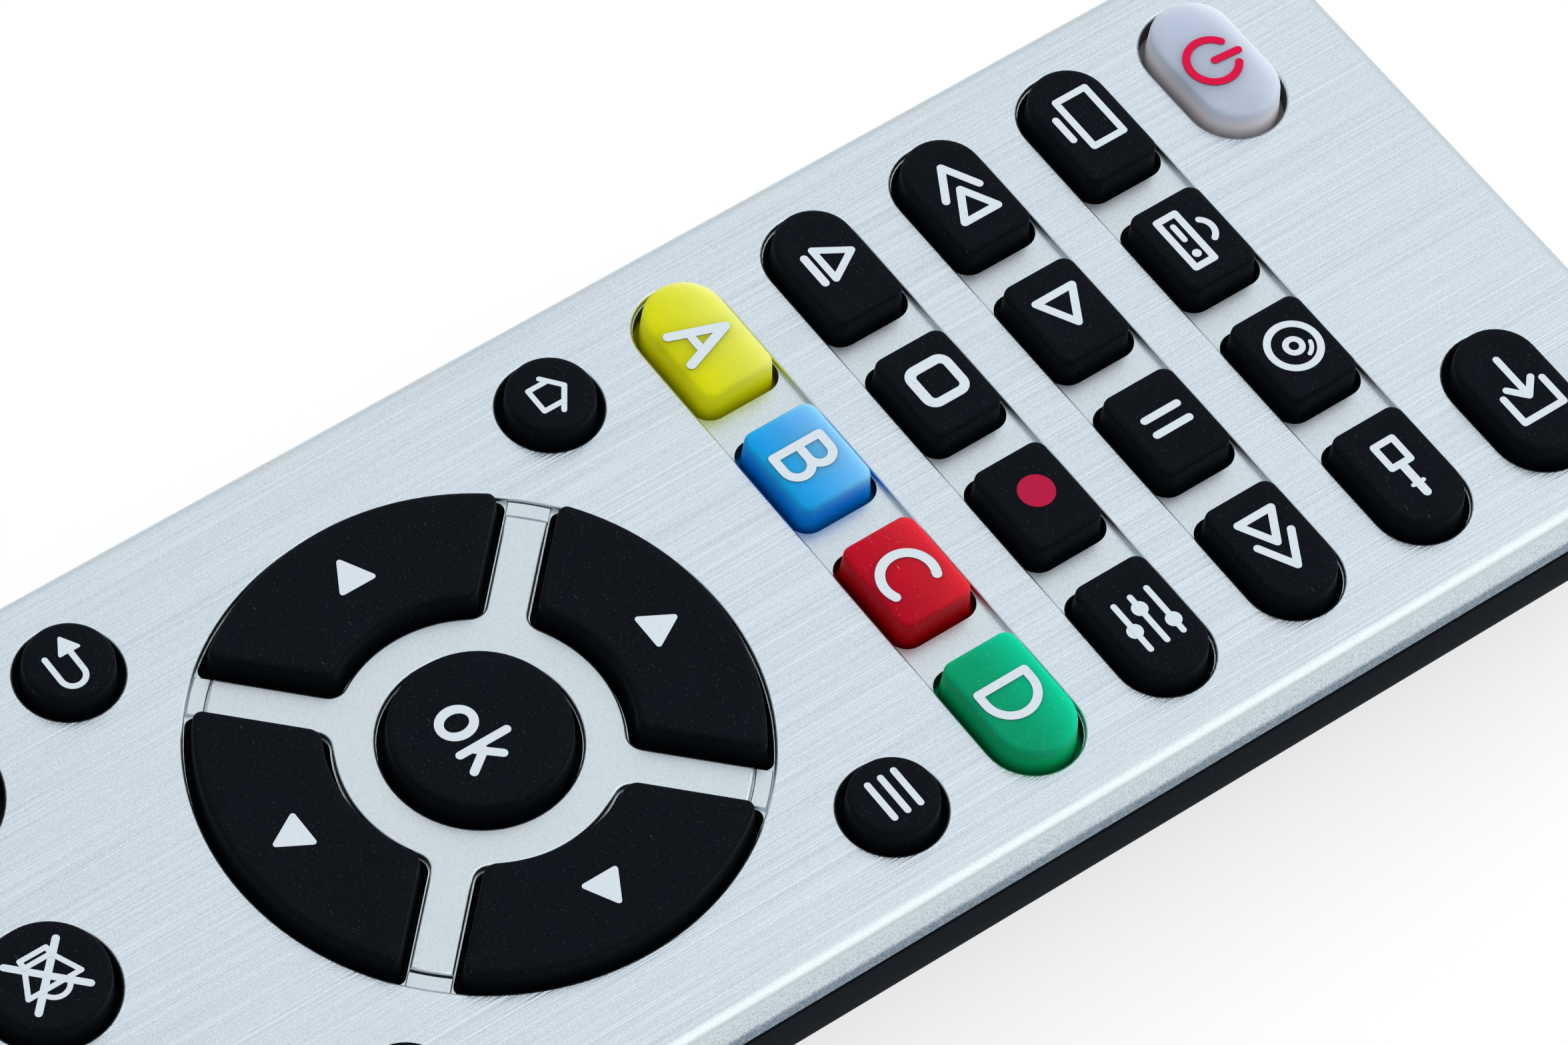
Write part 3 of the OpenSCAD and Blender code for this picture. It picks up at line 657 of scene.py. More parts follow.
def silicone(name, colour, dust_colour, dust=0.5, roughness=(0.5, 0.6), glow=None, **constants):
    """Matte moulded silicone with fine texture, a little uneven in tone, and dust on it.

    A key that lets light through has a painted glow: the front and back of its top in Y, its
    colour painted lighter at the back as light from behind, and its colour painted brighter on the sides as
    light shining through them.
    """
    material, tree, shader, at = new_material(name, **constants)
    grain = use_group(tree, GRAIN, at, Scale=5200.0)
    specks = use_group(tree, DUST, at, Amount=dust)
    patches = map_range(tree, noise(tree, at, 260.0, detail=3.0), 0.35, 0.65)
    uneven = mix_colour(tree, patches, shifted(colour, 0.86), colour)
    # Painted light: the top turns lighter towards its back as if lit through from behind, and the sides turn
    # brighter as if light shines through them
    if glow:
        front_y, back_y, back, side = glow
        place = split_axes(tree, at)
        far = math_node(tree, "POWER", map_range(tree, place["Y"], front_y * MM, back_y * MM), 2.0)
        uneven = mix_colour(tree, far, uneven, back)
        side_top = (KEY_TOP - SIDE_GLOW_FROM) * MM
        low = map_range(tree, place["Z"], side_top, (KEY_TOP - SIDE_GLOW_FULL) * MM)
        uneven = mix_colour(tree, low, uneven, side)
    dusty = mix_colour(tree, specks["Mask"], uneven, dust_colour)
    mixed = map_range(tree, grain["Tone"], 0, 1, *roughness)
    finish_shader(tree, shader, dusty, mixed, grain["Height"], strength=0.25, distance=0.00002)
    return material


def print_ink(name, colour, worn):
    """Printed ink: nearly even, with a few worn spots."""
    material, tree, shader, at = new_material(name, Specular_IOR_Level=0.15)
    grain = use_group(tree, GRAIN, at, Scale=6000.0)
    spots = map_range(tree, noise(tree, at, 3500.0, detail=3.0, roughness=0.65), 0.62, 0.75)
    toned = mix_colour(tree, spots, colour, worn)
    finish_shader(tree, shader, toned, 0.55, grain["Height"], strength=0.15, distance=0.00001)
    return material


def moulded_plastic(name, colour, roughness, scale=4200.0, depth=0.00004, dust=0.25, **constants):
    """Moulded plastic with a spark-eroded texture."""
    material, tree, shader, at = new_material(name, **constants)
    grain = use_group(tree, GRAIN, at, Scale=scale)
    specks = use_group(tree, DUST, at, Amount=dust)
    toned = mix_colour(tree, grain["Tone"], shifted(colour, 0.8), colour)
    dusty = mix_colour(tree, specks["Mask"], toned, shifted(colour, 1.5, 0.08))
    mixed = map_range(tree, grain["Tone"], 0, 1, *roughness)
    finish_shader(tree, shader, dusty, mixed, grain["Height"], strength=0.4, distance=depth)
    return material


def plated_metal(name, colour, roughness=(0.2, 0.36)):
    """Plated sheet or wire, with faint drawing lines and handling marks."""
    material, tree, shader, at = new_material(name, Metallic=1.0)
    lines = noise(tree, stretched(tree, at, (300, 6000, 3000)), 1.0, detail=3.0)
    marks = map_range(tree, noise(tree, at, 420.0, detail=4.0), 0.35, 0.65)
    marked = mix_colour(tree, marks, shifted(colour, 0.72), colour)
    mixed = map_range(tree, lines, 0.3, 0.7, *roughness)
    finish_shader(tree, shader, marked, mixed, lines, strength=0.2, distance=0.00002)
    return material


SILVER_FACE = silver_face()
SILVER_PAINT = silver_paint("silver_paint", speckle=0.3)
# Outer side of the shell: the same paint with more speckle, painted darker low down as painted shade
SIDE_PAINT = silver_paint("side_paint")
# Walls of the row recesses: the same paint a little darker, painted shade in the recesses
RECESS_SHADE_WALL = silver_paint("recess_shade_wall", tone=0.9)
# Walls of the key holes and under the pad's ring: nearly black, painted shade for the shadow in the gaps
HOLE_SHADE_WALL = silver_paint("hole_shade_wall", tone=0.05, metallic=0.5)
GREY_DUST = (0.05, 0.056, 0.064, 1.0)
WHITE_DUST = (0.5, 0.52, 0.55, 1.0)
BLACK_SILICONE = silicone("black_silicone", linear(9, 14, 20), GREY_DUST, 0.7, (0.5, 0.62),
                          Specular_IOR_Level=0.04)
WHITE_INK = print_ink("white_ink", linear(208, 219, 227), linear(182, 192, 202))
RED_INK = print_ink("red_ink", linear(208, 2, 62), linear(160, 10, 56))
DOT_INK = print_ink("dot_ink", linear(172, 16, 60), linear(104, 10, 38))
# Slot of a coloured key, its colour on top at the front, its colour on top at the back painted lighter as
# light from behind, and its colour on its sides painted brighter as light shining through
COLOURED = {
    "key_a": ("yellow_silicone", linear(216, 220, 6), linear(222, 229, 112), linear(255, 252, 0)),
    "key_b": ("blue_silicone", linear(16, 158, 228), linear(136, 197, 242), linear(0, 138, 255)),
    "key_c": ("red_silicone", linear(180, 3, 32), linear(214, 42, 54), linear(184, 0, 12)),
    "key_d": ("green_silicone", linear(0, 155, 108), linear(0, 202, 156), linear(0, 176, 104)),
    "key_power": ("clear_silicone", linear(177, 188, 208), linear(194, 203, 220), linear(238, 233, 240)),
}
# How deep light goes into the coloured silicones, in metres
CLEAR_KEYS = ("key_power", "key_a")
CLEAR_DEPTH = 0.008
DENSE_DEPTH = 0.003


def key_material(node):
    """Silicone of a key and the record's slot for it."""
    if node not in COLOURED:
        return BLACK_SILICONE, "black_silicone"
    name, colour, back, side = COLOURED[node]
    _, _, front_y, back_y = key_cap(node)
    glow = (front_y, back_y, back, side)
    depth = CLEAR_DEPTH if node in CLEAR_KEYS else DENSE_DEPTH
    made = silicone(name, colour, shifted(colour, 0.7, 0.25), 0.35, (0.42, 0.52), glow, Subsurface_Weight=0.9,
                    Subsurface_Radius=(0.6, 0.6, 0.6), Subsurface_Scale=depth, Specular_IOR_Level=0.1)
    return made, name


# Silver shell

# Materials of the shell: the recess and hole walls are painted shade, and the outer side is painted darker
# low down
SHELL_MATERIALS = (SILVER_FACE, SILVER_PAINT, RECESS_SHADE_WALL, HOLE_SHADE_WALL, SIDE_PAINT)
FACE, PAINT, RECESS_SHADE_SIDE, HOLE_SHADE_SIDE, OUTER_SIDE = range(len(SHELL_MATERIALS))


def shell_wall(g):
    """Outline of the body, grown by g."""
    r = CORNER_R + g
    return soft_box(-HALF_W - g, HALF_W + g, -HALF_L - g, HALF_L + g, r, r, CORNER_STEPS)


def opening_profile(low):
    """Profile of an opening from the face down to a height, with a small round edge."""
    edge = quarter(0, FACE_Z - HOLE_EDGE, HOLE_EDGE, HOLE_EDGE_STEPS)
    return [(-grow, z) for grow, z in reversed(edge)] + [(0, low)]


def pocket(bm, outline, holes):
    """Recess with a floor and holes through it. Returns its loop in the face and the holes' lower loops."""
    top, rim = skin(bm, outline, opening_profile(FLOOR_Z), PAINT, RECESS_SHADE_SIDE)
    ends = []
    floor_edges = list(rim)
    for hole in holes:
        mouth, end = skin(bm, hole, [(0, FLOOR_Z), (0, UNDER_Z)], HOLE_SHADE_SIDE)
        floor_edges += mouth
        ends += end
    fill(bm, floor_edges, PAINT)
    return top, ends


def spider_outline(g):
    """Ring around the ok key with its four arms, each cut off round at its end."""
    ring_out = RING_OUT + g
    half = ARM_HALF + g
    end = ARM_END + g
    fillet = upper_side(ring_out, PAD_R, half, SEGMENT_IN_CORNER - g, SEGMENT_OUT_CORNER)[-FILLET_STEPS - 1:]
    reach = math.degrees(math.asin(half / end))
    tip = arc(0, 0, end, ARM_ANGLE - reach, ARM_ANGLE + reach, steps=4)
    side = tip[:1] + fillet
    lower = [(x, -y) for x, y in side]
    in_angle = angle_of(*fillet[-1])
    inner = arc(0, 0, ring_out, -in_angle, in_angle, steps=20)
    points = []
    for angle in SEGMENT_KEYS.values():
        points += turned(lower + inner + side[::-1] + tip, angle, 0, PAD_Y)
    return without_repeats(points)


def arm_tip(g):
    """Step between the end of an arm and the pad's edge."""
    outer = PAD_R - TIP_GAP + g
    inner = ARM_END + TIP_GAP - g
    half = ARM_HALF + g
    out_reach = math.degrees(math.asin(half / outer))
    in_reach = math.degrees(math.asin(half / inner))
    return (arc(0, 0, outer, ARM_ANGLE - out_reach, ARM_ANGLE + out_reach, steps=6)
            + arc(0, 0, inner, ARM_ANGLE + in_reach, ARM_ANGLE - in_reach, steps=6))


def add_spider(bm):
    """Raised ring and arms of the pad, standing on the pocket's floor, with a low step beyond each arm."""
    root = FLOOR_Z - LEDGE
    rise = [(0, root)] + quarter(0, FACE_Z - HOLE_EDGE, HOLE_EDGE, HOLE_EDGE_STEPS)
    high, low = skin(bm, grown(spider_outline, -LEDGE), rise[::-1], PAINT, HOLE_SHADE_SIDE)
    ok_hole = grown(KEY_OUTLINES["key_ok"], KEY_GAP + LEDGE)
    mouth, end = skin(bm, ok_hole, opening_profile(root), PAINT, HOLE_SHADE_SIDE)
    fill(bm, high + mouth, PAINT)
    fill(bm, low + end, PAINT)
    for angle in SEGMENT_KEYS.values():
        prism(bm, lambda g, angle=angle: turned(arm_tip(g), angle, 0, PAD_Y),
              [(0, root), (0, TIP_Z - TIP_EDGE), (-TIP_EDGE, TIP_Z)], PAINT)


def silver_shell():
    """Upper shell: rounded edge, recesses, key holes and the pad's ring with its arms."""
    bm = bmesh.new()
    rise = [(-FOOT_EDGE, PARTING_Z), (0, PARTING_Z + FOOT_EDGE)]
    rise += quarter(0, FACE_Z - EDGE_R, EDGE_R, EDGE_STEPS)
    outer_foot, face_loop = skin(bm, shell_wall, rise, OUTER_SIDE)
    inner_foot, roof_loop = skin(bm, shell_wall, [(-WALL, PARTING_Z), (-WALL, UNDER_Z)], PAINT)
    fill(bm, outer_foot + inner_foot, PAINT)
    face_edges = list(face_loop)
    roof_edges = list(roof_loop)
    for row in UPPER_ROWS + NUMBER_ROWS:
        holes = [grown(KEY_OUTLINES[node], KEY_GAP - LEDGE) for node in row]
        top, ends = pocket(bm, grown(row_recess_outline(row), KEY_GAP), holes)
        face_edges += top
        roof_edges += ends
    pad_holes = [grown(segment_outline(angle, 0), -LEDGE) for angle in SEGMENT_KEYS.values()]
    pad_holes.append(grown(KEY_OUTLINES["key_ok"], KEY_GAP))
    top, ends = pocket(bm, lambda g: circle(0, PAD_Y, PAD_R + g, steps=128), pad_holes)
    face_edges += top
    roof_edges += ends
    for node in ROUND_KEYS + TOP_KEYS + ROCKERS:
        if node != "key_ok":
            hole = grown(KEY_OUTLINES[node], KEY_GAP)
            top, end = skin(bm, hole, opening_profile(UNDER_Z), PAINT, HOLE_SHADE_SIDE)
            face_edges += top
            roof_edges += end
    fill(bm, face_edges, FACE)
    fill(bm, roof_edges, PAINT)
    add_spider(bm)
    finish_piece(bm, "silver_shell", "case", SHELL_MATERIALS, ["top_case"])


# Symbols: strokes around a key's middle, with up along +Y

# How far the pad's arrows are printed off their middle
ARROW_SHIFT = (0.06, -0.28)


def letter_a():
    legs = path([(-0.87, -2.02), (0.43, 1.58), (1.73, -2.02)], 0.66)
    return legs + [bar(-0.42, -0.75, 1.28, -0.75, 0.58)]


def letter_b():
    w = 0.62
    stem = path([(0.24, 1.6), (-0.93, 1.6), (-0.93, -2.02), (0.27, -2.02)], w)
    bowls = [band(0.24, 0.75, 0.85, -90, 90, w), band(0.27, -1.06, 0.96, -90, 90, w)]
    return stem + bowls + [bar(-0.93, -0.1, 0.27, -0.1, w)]


def letter_c():
    return [band(0.52, -0.26, 1.81, 63, 297, 0.66)]


def letter_d():
    w = 0.6
    stem = path([(-0.54, 1.57), (-1.34, 1.57), (-1.34, -2.04), (-0.54, -2.04)], w)
    return stem + [band(-0.54, -0.235, 1.805, -90, 90, w)]


def word_ok():
    w = 0.58
    round_letter = (oval(-1.04, -1.09, 1.29, 1.44), oval(-1.04, -1.09, 0.65, 0.84))
    legs = [bar(1.1, -1.38, 2.37, 0.07, w), bar(1.5, -0.8, 2.52, -2.24, w)]
    return [round_letter, bar(1.04, -2.27, 1.04, 1.23, w)] + legs


def stop_square():
    """Outlined square with round corners."""
    outer = soft_box(-1.79, 1.73, -1.82, 1.7, 0.95, 0.95, steps=8)
    inner = soft_box(-1.07, 1.07, -1.09, 1.05, 0.29, 0.29, steps=8)
    return [(outer, inner)]


def play_triangle():
    """Outlined triangle that points along +X."""
    return path([(-1.3, -1.52), (-1.3, 1.42), (1.3, -0.03)], 0.55, closed=True)


def double_arrow(s):
    """Outlined triangle that points along +X, or -X where s is -1, and a chevron before it."""
    w = 0.55
    triangle = path([(-s * 2.39, -1.36), (-s * 2.39, 1.32), (-s * 0.06, 0)], w, closed=True)
    return triangle + path([(-s * 0.35, 1.34), (s * 2.03, 0), (-s * 0.35, -1.36)], w)


def eject_arrow():
    triangle = path([(-1.3, -0.62), (1.36, -0.62), (0.04, 1.57)], 0.5, closed=True)
    return triangle + [bar(-1.04, -1.41, 1.25, -1.41, 0.56)]


def record_dot():
    return [circle(-0.22, 0.05, 1.25, steps=40)]


def pause_bars():
    return [bar(x, -1.3, x, 1.3, 0.55) for x in (-0.65, 0.65)]


def house():
    w = 0.37
    roof = path([(-1.24, -0.04), (0.03, 1.03), (1.6, -0.09)], w)
    return roof + path([(-0.83, 0.3), (-0.83, -1.19), (1.0, -1.19), (1.0, 0.35)], w)


def turn_back():
    """Arrow that turns round at the right and points back to the left."""
    w = 0.4
    bend = band(1.09, -0.425, 0.835, -90, 90, w)
    hook = [bar(-0.76, -1.26, 1.09, -1.26, w), bend, bar(-0.5, 0.41, 1.09, 0.41, w)]
    return hook + [soft_triangle(-0.4, 0.385, 1.45, 0.88, 180, 0.12)]


def muted_speaker():
    w = 0.36
    box = path([(-1.1, -0.95), (-1.1, 0.95), (-1.65, 0.95), (-1.65, -0.95)], w, closed=True)
    horn = path([(-1.1, 0.95), (0.88, 1.85), (0.88, -1.95), (-1.1, -0.95)], w)
    wave = band(0.78, -0.05, 0.98, -55, 55, w)
    return box + horn + [wave, bar(-1.85, -1.95, 1.98, 1.8, 0.5), bar(-1.85, 1.8, 2.02, -1.97, 0.5)]


def power_ring():
    w = 0.55
    return [band(0.1, -0.29, 1.75, 124, 414, w, steps=40), bar(0.14, -0.15, 0.28, 1.68, w)]


def screen():
    """Screen on a foot."""
    w = 0.5
    panel = path([(-2.1, -0.9), (-2.1, 1.5), (2.1, 1.5), (2.1, -0.9)], w, closed=True)
    return panel + [bar(-0.95, -1.75, 0.95, -1.75, w)]


def set_top_box():
    """Flat box with a lamp and a slot, and a dish above it."""
    box = path([(-2.1, -1.4), (-2.1, 0.1), (2.1, 0.1), (2.1, -1.4)], 0.5, closed=True)
    lamp = circle(1.2, -0.65, 0.32, steps=20)
    return box + [lamp, bar(-1.3, -0.65, -0.1, -0.65, 0.42), band(0, 0.5, 1.05, 35, 145, 0.45)]


def disc():
    return [hoop(0, 0, 1.75, 0.5), hoop(0, 0, 0.55, 0.42), band(0, 0, 1.15, 25, 75, 0.3)]


def jack_plug():
    """Audio plug: sleeve, pin and the pin's collar."""
    sleeve = path([(-2.3, -0.75), (-2.3, 0.75), (-0.4, 0.75), (-0.4, -0.75)], 0.5, closed=True)
    return sleeve + [bar(-0.1, 0, 2.2, 0, 0.62), bar(1.35, -0.42, 1.35, 0.42, 0.3)]


def arrow_into_frame():
    """Arrow that enters a frame from the left."""
    w = 0.5
    side = path([(0.1, 1.6), (2.3, 1.6), (2.3, -1.6), (0.1, -1.6)], w)
    return side + [bar(-2.6, 0, 0.6, 0, w)] + path([(-0.35, 1.0), (0.75, 0), (-0.35, -1.0)], w)


def sliders():
    """Three sliders at different settings."""
    rails = [bar(-1.9, y, 1.9, y, 0.42) for y in (-1.3, 0, 1.3)]
    return rails + [circle(x, y, 0.56, steps=20) for x, y in ((0.9, 1.3), (-0.9, 0), (0.3, -1.3))]


def menu_lines():
    return [bar(-1.4, y, 1.4, y, 0.46) for y in (-1.0, 0, 1.0)]


def info_sign():
    return [bar(0, -1.4, 0, 0.5, 0.55), circle(0, 1.4, 0.38, steps=20)]


def return_loop():
    """Two arrows that swap places."""
    return [bar(-1.7, 0.8, 1.1, 0.8, 0.5), soft_triangle(0.8, 0.8, 1.2, 0.85, 0, 0.15),
            bar(1.7, -0.8, -1.1, -0.8, 0.5), soft_triangle(-0.8, -0.8, 1.2, 0.85, 180, 0.15)]


def enter_arrow():
    tail = path([(1.7, 1.3), (1.7, -0.6), (-0.9, -0.6)], 0.55)
    return tail + [soft_triangle(-0.7, -0.6, 1.25, 0.95, 180, 0.15)]


def plus_minus(node):
    """Plus at the rocker's upper end and minus at its lower end."""
    w = 0.7
    y = half_length(node) - ROCKER_SIGN_INSET
    return [bar(-1.5, y, 1.5, y, w), bar(0, y - 1.5, 0, y + 1.5, w), bar(-1.5, -y, 1.5, -y, w)]


def up_down(node):
    """Chevrons at the rocker's two ends."""
    y = half_length(node) - ROCKER_SIGN_INSET
    upper = [(-1.6, y - 0.8), (0, y + 0.8), (1.6, y - 0.8)]
    return [stroke for s in (1, -1) for stroke in path([(px, s * py) for px, py in upper], 0.7)]


def pad_arrow(angle):
    """Small solid triangle that points away from the pad's middle."""
    return [turned(soft_triangle(12.79, 0, 2.59, 1.46, 0, 0.2), angle, *ARROW_SHIFT)]


def plain_numbers():
    """Strokes of the numbers 0 to 9, about 3.8 high."""
    w = 0.62
    return (
        [band(0, 0.55, 1.05, 0, 180, w), band(0, -0.55, 1.05, 180, 360, w),
         bar(-1.05, -0.55, -1.05, 0.55, w), bar(1.05, -0.55, 1.05, 0.55, w)],
        path([(-0.7, 0.85), (0.2, 1.6), (0.2, -1.6)], w),
        [band(0, 0.6, 1.0, -35, 170, w)] + path([(0.82, 0.03), (-1.05, -1.6), (1.1, -1.6)], w),
        [band(0, 0.78, 0.82, -90, 150, w), band(0, -0.78, 0.86, -150, 90, w)],
        path([(1.2, -0.75), (-1.2, -0.75), (0.55, 1.6), (0.55, -1.6)], w),
        path([(0.95, 1.6), (-0.75, 1.6), (-0.85, 0.25)], w) + [band(0, -0.62, 1.0, -155, 135, w)],
        [hoop(0, -0.6, 1.0, w), band(1.3, -0.45, 2.3, 110, 180, w)],
        path([(-1.1, 1.6), (1.1, 1.6), (-0.35, -1.6)], w),
        [hoop(0, 0.8, 0.8, w), hoop(0, -0.72, 0.9, w)],
        [hoop(0, 0.6, 1.0, w), band(-1.3, 0.45, 2.3, -70, 0, w)],
    )


SYMBOLS = {
    "key_a": letter_a(), "key_b": letter_b(), "key_c": letter_c(), "key_d": letter_d(),
    "key_eject": eject_arrow(), "key_stop": stop_square(), "key_record": record_dot(),
    "key_setup": sliders(), "key_rewind": double_arrow(-1), "key_play": play_triangle(),
    "key_pause": pause_bars(), "key_forward": double_arrow(1), "key_device_1": screen(),
    "key_device_2": set_top_box(), "key_device_3": disc(), "key_device_4": jack_plug(),
    "key_home": house(), "key_menu": menu_lines(), "key_back": turn_back(), "key_info": info_sign(),
    "key_ok": word_ok(), "key_mute": muted_speaker(), "key_last": return_loop(),
    "key_power": power_ring(), "key_input": arrow_into_frame(), "key_dash": [bar(-1.3, 0, 1.3, 0, 0.62)],
    "key_enter": enter_arrow(), "key_volume": plus_minus("key_volume"), "key_channel": up_down("key_channel"),
}
SYMBOLS.update({f"key_{digit}": strokes for digit, strokes in enumerate(plain_numbers())})
SYMBOLS.update({key_name: pad_arrow(key_angle) for key_name, key_angle in SEGMENT_KEYS.items()})
INKS = {"key_record": DOT_INK, "key_power": RED_INK}
# Place of the ink among a key's materials
INK = 1


def add_print(bm, node):
    """Thin ink on top of a key. Strokes that cross lie a hair apart in height."""
    x0, y0 = (0, PAD_Y) if node in SEGMENT_KEYS else key_middle(node)
    for i, stroke in enumerate(SYMBOLS[node]):
        rise = [(0, KEY_TOP - PRINT_ROOT), (0, KEY_TOP - i * PRINT_STEP)]
        loops = []
        for points in stroke if isinstance(stroke, tuple) else (stroke,):
            placed = [(x0 + x, y0 + y) for x, y in points]
            loops.append(skin(bm, lambda g, placed=placed: placed, rise, INK))
        if len(loops) == 1:
            cap(bm, loops[0][0], INK)
            cap(bm, loops[0][1], INK)
        else:
            fill(bm, loops[0][0] + loops[1][0], INK)
            fill(bm, loops[0][1] + loops[1][1], INK)


# Keys


def key_profile():
    """Profile of a cap: straight in its hole, sloped above, round at the top and a little crowned."""
    crown = sum(rise for _, rise in CROWN)
    shoulder_z = KEY_TOP - PRINT - crown - KEY_ROUND
    profile = [(0, FLANGE_LOW), (0, FACE_Z - DRAFT_DEPTH)]
    profile += quarter(-KEY_DRAFT, shoulder_z, KEY_ROUND, KEY_ROUND_STEPS)
    for inwards, rise in CROWN:
        grow, z = profile[-1]
        profile.append((grow - inwards, z + rise))
    return profile


def plunger_places(node):
    """Middles of the plungers under a key."""
    x, y = key_middle(node)
    if node in ROCKERS:
        reach = half_length(node) - ROCKER_PLUNGER_INSET
        return [(x, y - reach), (x, y + reach)]
    if node in SEGMENT_KEYS:
        return turned([((RING_OUT + PAD_R) / 2, 0)], SEGMENT_KEYS[node], 0, PAD_Y)
    return [(x + POWER_PLUNGER_X, y)] if node == "key_power" else [(x, y)]


def add_root(bm, node):
    """Flange that keeps the key in, and the plungers under it."""
    flange = 0 if node in ROCKERS else FLANGE_W
    prism(bm, grown(KEY_OUTLINES[node], flange), [(0, FLANGE_LOW), (0, FLANGE_TOP)])
    rise = [(0, node_box(node)[0].z), (0, FLANGE_LOW + LEDGE)]
    for x, y in plunger_places(node):
        prism(bm, lambda g, x=x, y=y: circle(x, y, PLUNGER_R, steps=24), rise)


def make_key(node):
    bm = bmesh.new()
    prism(bm, KEY_OUTLINES[node], key_profile())
    add_root(bm, node)
    add_print(bm, node)
    material, slot = key_material(node)
    finish_piece(bm, node + "_cap", node, [material, INKS.get(node, WHITE_INK)], [node])


silver_shell()
for key_name in KEY_OUTLINES:
    make_key(key_name)


# Battery cells

CELL_L = 44.5
SLEEVE, COPPER, PLATED = range(3)
# Rings of a cell: distance from its flat end, distance inside its full radius, and the
# material between it and the next ring
CELL_RINGS = (
    (0.15, 2.0, PLATED), (0.15, 1.3, SLEEVE), (0.0, 1.2, SLEEVE), (0.0, 0.65, SLEEVE),
    (0.06, 0.4, SLEEVE), (0.3, 0.08, SLEEVE), (0.6, 0.0, SLEEVE), (29.0, 0.0, PLATED),
    (29.5, 0.0, COPPER), (42.9, 0.0, COPPER), (43.2, 0.08, COPPER), (43.44, 0.4, COPPER),
    (43.5, 0.65, COPPER), (43.5, 1.4, PLATED), (43.3, 1.6, PLATED), (43.3, 3.35, PLATED),
    (44.3, 3.35, PLATED), (CELL_L, 3.6, PLATED),
)


def add_cell(bm, x, z, r, flat_y, way):
    """Dry cell along Y with metal ends, a dark sleeve and a band of copper towards its nub."""
    loops = []
    for far, inside, _ in CELL_RINGS:
        points = circle(x, z, r - inside, steps=48)
        loops.append(loop_through(bm, [(px, flat_y + way * far, pz) for px, pz in points]))
    for low, high, (_, _, material) in zip(loops, loops[1:], CELL_RINGS):
        join_loops(bm, low, high, material)
    cap(bm, loops[0], PLATED)
    cap(bm, loops[-1], PLATED)


def battery_cells():
    """Both cells of the bay, the second turned round."""
    low, high = node_box("battery_cells")
    r = (high.z - low.z) / 2
    z = (high.z + low.z) / 2
    bm = bmesh.new()
    add_cell(bm, low.x + r, z, r, high.y - CELL_L, 1)
    add_cell(bm, high.x - r, z, r, low.y + CELL_L, -1)
    sleeve = moulded_plastic("cell_sleeve", linear(32, 33, 36), (0.22, 0.32), 900.0, 0.00001)
    copper = plated_metal("cell_band", linear(188, 122, 72), (0.26, 0.38))
    ends = plated_metal("cell_ends", (0.66, 0.66, 0.65, 1.0))
    finish_piece(bm, "cells", "case", [sleeve, copper, ends], ["battery_cells"])


battery_cells()


# Nodes that keep their frame shape

BLACK_SHELL = moulded_plastic("black_shell", linear(33, 38, 44), (0.7, 0.85), Specular_IOR_Level=0.006)
STEEL = plated_metal("screw_steel", (0.42, 0.42, 0.44, 1.0))
NICKEL = plated_metal("contact_metal", (0.62, 0.61, 0.57, 1.0))
KEPT = {
    "bottom_case": BLACK_SHELL,
    "battery_door": BLACK_SHELL,
    "keypad_sheet": silicone("keypad_silicone", linear(52, 53, 56), WHITE_DUST, 0.2),
    "circuit_board": moulded_plastic("board", linear(38, 96, 52), (0.25, 0.4), 1800.0),
    "contact_pads": moulded_plastic("carbon", linear(38, 38, 39), (0.55, 0.7)),
    "controller_chip": moulded_plastic("chip", linear(34, 34, 36), (0.45, 0.6), 6000.0),
    "crystal": plated_metal("metal_can", (0.6, 0.61, 0.63, 1.0)),
    "capacitor": moulded_plastic("capacitor_sleeve", linear(30, 36, 78), (0.2, 0.3), 1200.0),
    "ir_led": moulded_plastic("ir_diode", linear(44, 28, 48), (0.08, 0.14), 900.0, 0.000005),
    "ir_window": moulded_plastic("ir_window", linear(22, 6, 12), (0.05, 0.1), 700.0, 0.000004, 0.1,
                                 Specular_IOR_Level=0.3),
    "indicator_led": moulded_plastic("indicator", linear(230, 222, 205), (0.15, 0.25), 2500.0),
    "battery_contacts": NICKEL,
    "battery_springs": NICKEL,
    "case_screws": STEEL,
}
for kept_node, kept_material in KEPT.items():
    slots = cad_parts[kept_node].data.materials
    slots.clear()
    slots.append(kept_material)


# Stage, light and camera, in metres, with the lens in millimetres

# Strength of the world as light, where it is 1 to the eye and in reflections
WORLD_LIGHT = 0.63
# Span of a direction's height, its way back or its nearness to the soft box, and the strength at each end
OVERHEAD = (0.0, 0.7, 0.76, 1.0)
BEHIND = (-0.8, 0.8, 0.76, 1.08)
SOFT_BOX_GLOW = (0.72, 0.9, 0.0, 0.55)
# Direction of the soft box that shows in reflections
SOFT_BOX = Vector((0.42, 0.37, 0.83)).normalized()

LAMP_PLACE = Vector((-0.1, 0.6, 0.84))
LAMP_AIM = Vector((0, 0.04, 0.018))
LAMP_SIZE = 1.2
LAMP_WATTS = 9.0

FLOOR_HALF = 3.0
FLOOR_DROP = 0.0002
# The floor's own white, and its share in what the eye and reflections see of it
FLOOR_WHITE = 1.06
FLOOR_WHITE_SHARE = 0.7

# Camera, solved from the key outlines in the photograph
AIM = Vector((-2.712, 45.347, 18.6)) * MM
DISTANCE = 514.13 * MM
AZIMUTH = math.radians(48.556)
ELEVATION = math.radians(55.203)
ROLL = math.radians(6.275)
LENS = 187.13
SENSOR_W = 36.0


def seen_rays(tree, rays):
    """Mask of the rays that show what they meet: to the eye, in a reflection or through glass."""
    seen = math_node(tree, "MAXIMUM", rays["Is Camera Ray"], rays["Is Glossy Ray"])
    return math_node(tree, "MAXIMUM", seen, rays["Is Transmission Ray"])


